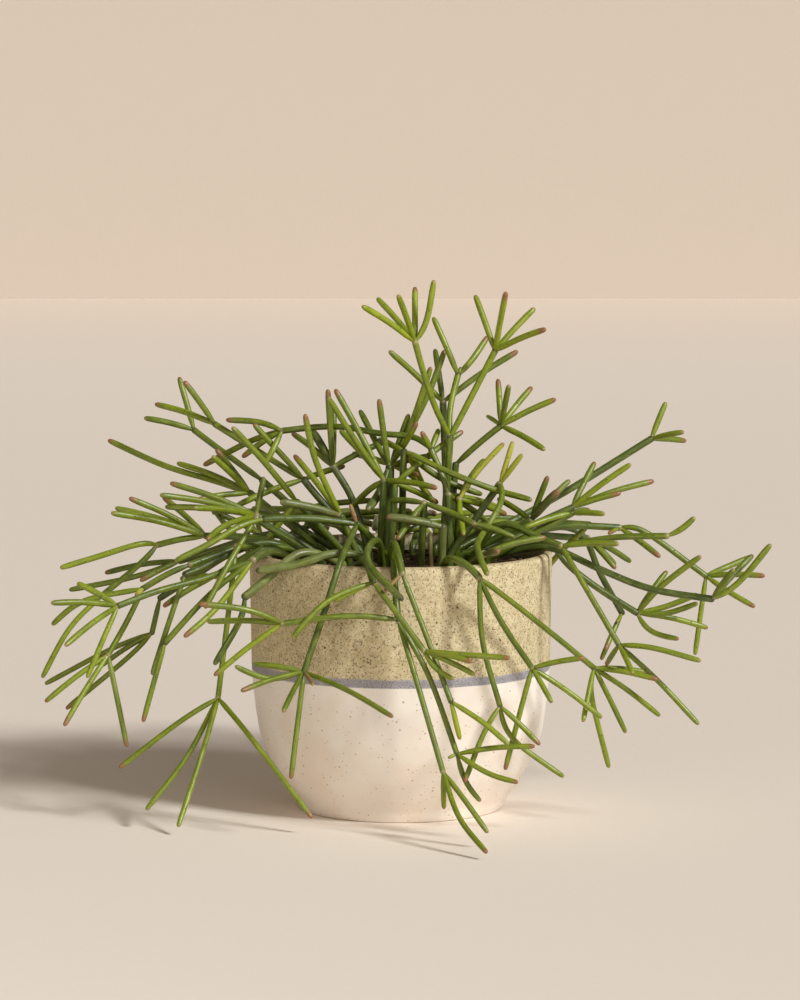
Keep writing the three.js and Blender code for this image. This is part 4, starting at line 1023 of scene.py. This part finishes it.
def specklesGroup():
    # round specks: one at the middle of each cell of a scattered lattice, of a size drawn for that cell, with the
    # cells whose draw is over "Amount" left empty
    group, given, result = newGroup("speckles", {"Cell": 1.0, "Size": 0.3, "Amount": 0.5, "Shift": 0.0},
                                    {"Mask": "Float", "Draw": "Float"})
    smallest, softEdge = 0.35, 0.3
    place = addNode(group, "ShaderNodeTexCoord")["Object"]
    moved = addNode(group, "ShaderNodeVectorMath", {0: place, 1: given["Shift"]}, operation="ADD")[0]
    cells = addNode(group, "ShaderNodeTexVoronoi", {"Vector": moved, "Scale": 1 / mm / given["Cell"]})
    draws = addNode(group, "ShaderNodeSeparateColor", {0: cells["Color"]})
    reach = given["Size"] * (draws[0] + smallest)
    speck = ranged(1.0 - cells["Distance"] / reach, 0.0, softEdge)
    kept = maths("LESS_THAN", draws[1], given["Amount"])
    feed(result, {"Mask": speck * kept, "Draw": draws[2]})
    return group


# What a stem's skin looks like. A pair is the range over which something sets in, and sizes are in mm.
skinLook = {
    "ageRange": [-0.8, 2.2],
    "byAge": [(0.0, (200, 190, 80)), (0.13, (170, 176, 50)), (0.27, (138, 152, 26)), (0.37, (110, 124, 16)),
              (0.47, (82, 98, 12)), (0.57, (56, 74, 12)), (0.66, (94, 104, 50)), (0.78, (118, 110, 66)),
              (1.0, (150, 104, 60))],
    "patchSize": 9, "patches": 0.55, "grainSize": 1.6, "grain": 0.3,
    "streak": {"colour": (176, 180, 64), "along": 0.05, "apart": 40.0, "scale": 2.6, "range": [0.5, 0.75, 0.0, 0.35]},
    "dot": {"colour": (66, 52, 26), "spacing": 2.7, "turn": 0.382, "around": 11.0, "along": 0.8,
            "range": [0.44, 0.2], "share": 0.85},
    "bloom": {"colour": (140, 150, 84), "size": 14, "range": [0.4, 0.75]},
    "cork": {"colour": (176, 160, 120), "size": 3.5, "roughness": 0.6, "edge": 0.76, "byAge": 0.07,
             "range": [0.0, 0.03], "share": 0.7},
    "joint": {"dark": (54, 52, 24), "corky": (168, 152, 108), "corkyRange": [0.5, 0.62], "ragged": 1.5,
              "baseRange": [3.4, 1.4], "endRange": [2.6, 0.9], "share": 0.66},
    "cap": {"red": (146, 92, 66), "brown": (158, 132, 82), "redRange": [0.5, 0.58], "longerRange": [0.5, 1.0],
            "length": 1.1, "longer": 5.5, "ragged": 3.2, "range": [1.15, 0.3], "drawAgain": 7.31},
    "roughness": {"least": 0.3, "more": 0.14},
    "height": {"streak": 0.6, "dot": 0.35, "fine": 0.35, "cork": 0.4},
    "bump": 0.00022,
    "tones": {
        "pale": {"Bloom": 0.1, "Redness": 0.9},
        "fresh": {"Bloom": 0.14, "Redness": 0.85},
        "dark": {"Bloom": 0.24, "Redness": 0.7},
        "grey": {"Bloom": 0.6, "Redness": 0.5},
    },
}


def stemSkinGroup():
    # Colour by age: bright yellow-green when young, deep green later, grey-green and corky when old. A stem has dark
    # or corky joints, small dots in a spiral, faint streaks, a dull bloom in patches, and a brown or red-brown cap.
    look = skinLook
    group, given, result = newGroup("stemSkin", {"Bloom": 0.2, "Redness": 0.8},
                                    {"Color": "Color", "Roughness": "Float", "Height": "Float"})
    place = addNode(group, "ShaderNodeTexCoord")
    uv = addNode(group, "ShaderNodeSeparateXYZ", {0: place["UV"]})
    turn, up = uv[0], uv[1]
    age, end, tip, draw = (addNode(group, "ShaderNodeAttribute", attribute_name=label)["Fac"]
                           for label in ("stemAge", "stemEnd", "stemTip", "stemDraw"))
    broad, fine = noiseOf(place["Object"], look["patchSize"]), noiseOf(place["Object"], look["grainSize"])
    mottledAge = age + ((broad - 0.5) * look["patches"] + (fine - 0.5) * look["grain"])
    shade = rampOf(ranged(mottledAge, *look["ageRange"], smooth=False), look["byAge"])
    # streaks run along the stem: the noise reads the turn as a circle, so that it closes, and the length shortened
    part = look["streak"]
    angle = turn * (2 * math.pi)
    circle = addNode(group, "ShaderNodeCombineXYZ", {
        0: maths("COSINE", angle), 1: maths("SINE", angle), 2: up * part["along"] + draw * part["apart"]})[0]
    streak = addNode(group, "ShaderNodeTexNoise", {"Vector": circle, "Scale": part["scale"], "Detail": 3.0})[0]
    shade = blended(ranged(streak, *part["range"]), shade, colour(*part["colour"]))
    # dots: one in each stretch of the length, a good third of a turn further round than the last
    part = look["dot"]
    row = up / part["spacing"]
    offset = maths("FLOOR", row) * part["turn"] + draw
    across = (maths("FRACT", turn - offset) - 0.5) * part["around"]
    lengthways = (maths("FRACT", row) - 0.5) * part["spacing"] * part["along"]
    dot = ranged(maths("SQRT", across * across + lengthways * lengthways), *part["range"])
    shade = blended(dot * part["share"], shade, colour(*part["colour"]))
    part = look["bloom"]
    bloomPatch = ranged(noiseOf(place["Object"], part["size"], 2), *part["range"])
    shade = blended(bloomPatch * given["Bloom"], shade, colour(*part["colour"]))
    # cork: small pale scars, more of them on older stems
    part = look["cork"]
    corkEdge = part["edge"] - age * part["byAge"]
    cork = ranged(noiseOf(place["Object"], part["size"], 4, part["roughness"]) - corkEdge, *part["range"])
    shade = blended(cork * part["share"], shade, colour(*part["colour"]))
    # joints: at the base of a stem, and at the end of one that others grow from
    part = look["joint"]
    atBase = ranged(up + fine * part["ragged"], *part["baseRange"])
    atEnd = (1.0 - tip) * ranged(end, *part["endRange"])
    ringShade = blended(ranged(draw, *part["corkyRange"]), colour(*part["dark"]), colour(*part["corky"]))
    shade = blended(maths("MAXIMUM", atBase, atEnd) * part["share"], shade, ringShade)
    # caps: under half of the growing tips are red-brown over a few mm, and the others have only a pale brown end
    part = look["cap"]
    drawn = maths("FRACT", draw * part["drawAgain"])
    capLength = part["length"] + ranged(drawn, *part["longerRange"], smooth=False) * part["longer"]
    ragged = end + (fine - 0.5) * part["ragged"]
    cap = ranged(ragged / capLength, *part["range"]) * tip * given["Redness"]
    capShade = blended(ranged(drawn, *part["redRange"]), colour(*part["brown"]), colour(*part["red"]))
    rough, height = look["roughness"], look["height"]
    feed(result, {
        "Color": blended(cap, shade, capShade),
        "Roughness": rough["least"] + (fine + (dot + cork)) * rough["more"],
        "Height": streak * height["streak"] + (dot * height["dot"] + fine * height["fine"]) + cork * height["cork"],
    })
    return group


def stemMaterial(tone, skinGroup):
    made, tree, shader = newMaterial("stem_skin_" + tone, {"Specular IOR Level": 0.5})
    skin = useGroup(tree, skinGroup, skinLook["tones"][tone])
    feed(shader, {"Base Color": skin["Color"], "Roughness": skin["Roughness"]})
    addBump(shader, skin["Height"], skinLook["bump"])
    return made


# What the pot looks like. A pair is the range over which something sets in, and heights are in mm.
potLook = {
    "colours": {
        "stone": (202, 185, 142), "stonePale": (221, 205, 166), "stoneDark": (184, 165, 122), "speck": (104, 80, 50),
        "band": (176, 170, 172), "bandDark": (128, 122, 126), "cream": (242, 232, 220), "creamWarm": (236, 221, 204),
        "creamSpeck": (166, 120, 82), "bare": (206, 190, 164), "rim": (150, 118, 74),
    },
    "stoneSpecks": {"Cell": 0.85, "Size": 0.54, "Amount": 0.95, "Shift": 0.0},
    "rareSpecks": {"Cell": 2.6, "Size": 0.22, "Amount": 0.14, "Shift": 0.31},
    "creamSpecks": {"Cell": 2.0, "Size": 0.22, "Amount": 0.6, "Shift": 0.77},
    "fewSpecks": {"Cell": 7.0, "Size": 0.1, "Amount": 0.3, "Shift": 0.53},
    "stoneStrength": [0.15, 0.8], "creamStrength": [0.2, 0.8], "fewShare": 0.6,
    "stonePale": [0.35, 0.7], "stoneDark": [0.45, 0.8, 0.0, 0.5], "bandDark": [0.35, 0.65], "creamWarm": [0.4, 0.7],
    # the edge of the band wavers by some mm, and that of the glaze less
    "waver": 2.2, "waverSize": 16, "glazeWaver": 0.25, "bandEdge": [-0.5, 0.7], "glazeEdge": [-0.3, 0.3],
    "underside": [0.6, 0.1], "rim": [129.0, 130.4], "rimRagged": 1.2, "rimShare": 0.4,
    "coat": 0.35, "coatRoughness": 0.28, "roughness": 0.78, "grainRoughness": 0.08, "glazeSmooths": 0.36,
    # size and detail of the three noises, and the relief in metres with what adds to it
    "broad": [28, 3], "middle": [3.2, 4], "grain": [0.5, 3],
    "bump": 0.00012, "grainRise": 0.5, "speckSink": 0.5, "glazeFlattens": 0.85,
}


def potMaterial(speckles):
    look = potLook
    made, tree, shader = newMaterial("glazed_stoneware", {"Coat Roughness": look["coatRoughness"]})
    shades = {label: colour(*value) for label, value in look["colours"].items()}
    place = addNode(tree, "ShaderNodeTexCoord")["Object"]
    height = addNode(tree, "ShaderNodeSeparateXYZ", {0: place})[2] * (1 / mm)
    broad, middle, grain = (noiseOf(place, *look[label]) for label in ("broad", "middle", "grain"))
    # stoneware: mottled, with dense dark specks and a few large ones
    stone = blended(ranged(middle, *look["stonePale"]), shades["stone"], shades["stonePale"])
    stone = blended(ranged(broad, *look["stoneDark"]), stone, shades["stoneDark"])
    specks = useGroup(tree, speckles, look["stoneSpecks"])
    rare = useGroup(tree, speckles, look["rareSpecks"])
    strength = ranged(specks["Draw"], 0.0, 1.0, *look["stoneStrength"])
    stoneSpecks = maths("MAXIMUM", specks["Mask"] * strength, rare["Mask"])
    stone = blended(stoneSpecks, stone, shades["speck"])
    band = blended(ranged(grain, *look["bandDark"]), shades["band"], shades["bandDark"])
    # cream glaze: sparse brown specks with soft edges
    cream = blended(ranged(broad, *look["creamWarm"]), shades["cream"], shades["creamWarm"])
    specks = useGroup(tree, speckles, look["creamSpecks"])
    few = useGroup(tree, speckles, look["fewSpecks"])
    strength = ranged(specks["Draw"], 0.0, 1.0, *look["creamStrength"])
    cream = blended(specks["Mask"] * strength, cream, shades["creamSpeck"])
    cream = blended(few["Mask"] * look["fewShare"], cream, shades["speck"])
    # where each finish ends, by height
    wave = (noiseOf(place, look["waverSize"], 2) - 0.5) * look["waver"]
    overBand = ranged(height + wave, *(potFinish["bandHigh"] + way for way in look["bandEdge"]))
    overCream = ranged(height + wave * look["glazeWaver"],
                       *(potFinish["bandLow"] + way for way in look["glazeEdge"]))
    underside = ranged(height, *look["underside"])
    # the glaze is thin and browner along the rim's edge
    atRim = ranged(height + middle * look["rimRagged"], *look["rim"]) * look["rimShare"]
    shade = blended(overCream, cream, blended(overBand, band, stone))
    shade = blended(atRim, shade, shades["rim"])
    glazed = (1.0 - overCream) * (1.0 - underside)
    feed(shader, {
        "Base Color": blended(underside, shade, shades["bare"]),
        "Coat Weight": glazed * look["coat"],
        "Roughness": look["roughness"] + grain * look["grainRoughness"] - glazed * look["glazeSmooths"],
    })
    relief = grain * look["grainRise"] + (middle - stoneSpecks * look["speckSink"])
    addBump(shader, relief * (1.0 - glazed * look["glazeFlattens"]), look["bump"])
    return made


# size and detail of the two noises, the least roughness and what the fine noise adds, and the relief in metres
soilNoise = {"broad": [6, 4], "fine": [0.9, 4, 0.7], "roughness": 0.8, "more": 0.18, "bump": 0.0006}
# the colours of soil, bark bits and root fibres by their noise, and the share of that which is a bit's own draw
soilLooks = {
    "soil_crumbs": {"stops": [(0.3, (22, 16, 12)), (0.5, (52, 38, 27)), (0.7, (96, 72, 50))], "drawShare": 0},
    "soil_bark_bits": {"stops": [(0.1, (38, 26, 18)), (0.5, (88, 62, 42)), (0.8, (140, 106, 74)),
                                 (0.95, (196, 180, 150))], "drawShare": 0.6},
    "soil_root_fibres": {"stops": [(0.1, (66, 44, 28)), (0.6, (128, 96, 62)), (0.95, (176, 146, 104))],
                         "drawShare": 0.6},
}


def soilMaterial(name):
    # dark brown crumbs, their colour varied by noise; the same noise raises the bump, so the colour is lighter on top
    # of the bumps and almost black between them, painted shade in the hollows
    look = soilLooks[name]
    made, tree, shader = newMaterial(name, {"Specular IOR Level": 0.25})
    place = addNode(tree, "ShaderNodeTexCoord")["Object"]
    broad, fine = noiseOf(place, *soilNoise["broad"]), noiseOf(place, *soilNoise["fine"])
    value = broad * 0.5 + fine * 0.5
    if look["drawShare"]:
        draw = addNode(tree, "ShaderNodeAttribute", attribute_name="chipDraw")["Fac"]
        value = value * (1 - look["drawShare"]) + draw * look["drawShare"]
    feed(shader, {"Base Color": rampOf(value, look["stops"]),
                  "Roughness": soilNoise["roughness"] + fine * soilNoise["more"]})
    # the bump follows the colour's noise, so the darkest colour lies in its hollows as painted shade
    addBump(shader, broad + fine, soilNoise["bump"])
    return made


random = np.random.default_rng(stemFinish["seed"])
skinGroup = stemSkinGroup()
skins = {tone: stemMaterial(tone, skinGroup) for tone in skinLook["tones"]}
tonesOf = {"shoot_" + name: shoot["tone"] for name, shoot in shoots.items()}
for name in dict.fromkeys(limb["shoot"] for limb in limbs):
    tone = tonesOf.get(name, "fresh")
    piece = makeShoot(name, tone, random)
    piece.data.materials.append(skins[tone])
    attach(piece, "root")
    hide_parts(name)
    "stem_" + tone
print("stems made")

pot = makePot()
pot.data.materials.append(potMaterial(specklesGroup()))
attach(pot, "root")
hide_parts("pot")
print("pot made")

soil = makeSoil()
soil.data.materials.append(soilMaterial("soil_crumbs"))
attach(soil, "root")
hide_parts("soil")
for bits, name in ((makeChips(), "soil_bark_bits"), (makeFibres(), "soil_root_fibres")):
    bits.data.materials.append(soilMaterial(name))
    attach(bits, "root")
print("soil made")


stage = {
    "left": -9000, "right": 9000, "front": -9000, "back": 4200, "top": 1400,
    "shadeFrom": 2600, "grainNoise": [5, 4], "grainRange": [0.3, 0.7, 0.0, 0.1], "bump": 0.00015,
    # painted shade: the wall's colours are darker than the floor's, and the floor's colour darkens from near to far
    # between shadeFrom and the wall
    "floor": {"near": (240, 227, 212), "far": (230, 215, 199), "grain": (230, 216, 200)},
    "wall": {"near": (222, 208, 192), "far": (222, 208, 192), "grain": (214, 200, 184)},
}


def paperWithPaintedShadeMaterial(name):
    colours = {label: colour(*value) for label, value in stage[name].items()}
    material, tree, shader = newMaterial("paper_with_painted_shade_" + name, {"Roughness": 0.9, "Specular IOR Level": 0.15})
    place = addNode(tree, "ShaderNodeTexCoord")["Object"]
    back = addNode(tree, "ShaderNodeSeparateXYZ", {0: place})[1]
    # painted shade: the floor's colour darkens towards the wall, and the wall takes its own darker colours
    paintedShadeShare = ranged(back, stage["shadeFrom"] * mm, stage["back"] * mm, smooth=False)
    grain = noiseOf(place, *stage["grainNoise"])
    paper = blended(paintedShadeShare, colours["near"], colours["far"])
    feed(shader, {"Base Color": blended(ranged(grain, *stage["grainRange"]), paper, colours["grain"])})
    addBump(shader, grain, stage["bump"])
    return material


def makeStage():
    # A flat floor that meets a wall far behind. Each throws light on the other; the wall's paper colour is darker,
    # painted shade, and the floor's colour darkens towards the wall, painted shade against the light that the wall
    # throws on it.
    y = np.array([stage["front"], stage["back"], stage["back"]])
    z = np.array([0, 0, stage["top"]])
    x = np.array([stage["left"], stage["right"]])
    places = np.stack([np.repeat(x, len(y)), np.tile(y, 2), np.tile(z, 2)], axis=1)
    k = np.arange(len(y) - 1)
    quads = np.column_stack([k, k + len(y), k + len(y) + 1, k + 1])
    made = makeMesh("paper_sweep", places, quads, np.zeros((0, 3), dtype=int), smooth=False)
    for k, name in enumerate(["floor", "wall"]):
        made.data.materials.append(paperWithPaintedShadeMaterial(name))
        made.data.polygons[k].material_index = k


# Where the lights are as seen from the plant, with sizes and distances in metres. The one without a size is a sun,
# so that the whole floor is lit alike, and its width in degrees makes the shadows soft.
lights = {
    "key": {"toward": (0.755, -0.656, 0.72), "distance": 3.0, "width": 11, "strength": 3.0,
            "tint": (0.97, 1.0, 1.02)},
    "soft_front": {"toward": (0.35, -1.0, 0.35), "distance": 3.0, "size": (1.2, 1.0), "strength": 10,
                   "tint": (1.0, 0.96, 0.9)},
    "left_fill": {"toward": (-0.6, -1.0, 0.1), "distance": 1.0, "size": (0.4, 0.4), "strength": 1.2,
                  "tint": (1.0, 0.93, 0.85)},
    "top_fill": {"toward": (0.1, -0.2, 1.0), "distance": 2.6, "size": (2.2, 2.2), "strength": 1.2,
                 "tint": (1.0, 0.88, 0.78)},
}
room = {"tint": (1.0, 0.89, 0.8, 1.0), "strength": 0.19}
plantMiddle = np.array([0, 0, 0.12])


def addLight(name, given):
    light = bpy.data.lights.new(name, "AREA" if "size" in given else "SUN")
    if "size" in given:
        light.shape = "RECTANGLE"
        light.size, light.size_y = given["size"]
    else:
        light.angle = math.radians(given["width"])
    light.energy = given["strength"]
    light.color = given["tint"]
    made = bpy.data.objects.new(name, light)
    direction = np.array(given["toward"]) / np.linalg.norm(given["toward"])
    made.location = plantMiddle + direction * given["distance"]
    x, y, z = direction
    made.rotation_euler = (math.atan2(math.hypot(x, y), z), 0, math.atan2(x, -y))
    bpy.context.scene.collection.objects.link(made)


makeStage()
for name, given in lights.items():
    addLight(name, given)

scene = bpy.context.scene
world = bpy.data.worlds.new("soft_room")
world.use_nodes = True
background = world.node_tree.nodes["Background"]
background.inputs["Color"].default_value = room["tint"]
background.inputs["Strength"].default_value = room["strength"]
scene.world = world
scene.view_settings.view_transform = "Standard"

sensor = 36
cameraData = bpy.data.cameras.new("camera")
cameraData.lens = photo["focal"] / photo["height"] * sensor
cameraData.sensor_width = sensor
cameraData.clip_end = 50
camera = bpy.data.objects.new("camera", cameraData)
camera.location = (eye["x"] * mm, eye["y"] * mm, eye["z"] * mm)
camera.rotation_euler = (math.radians(90 - eye["down"]), 0, 0)
scene.collection.objects.link(camera)
scene.camera = camera
print("light and camera made")
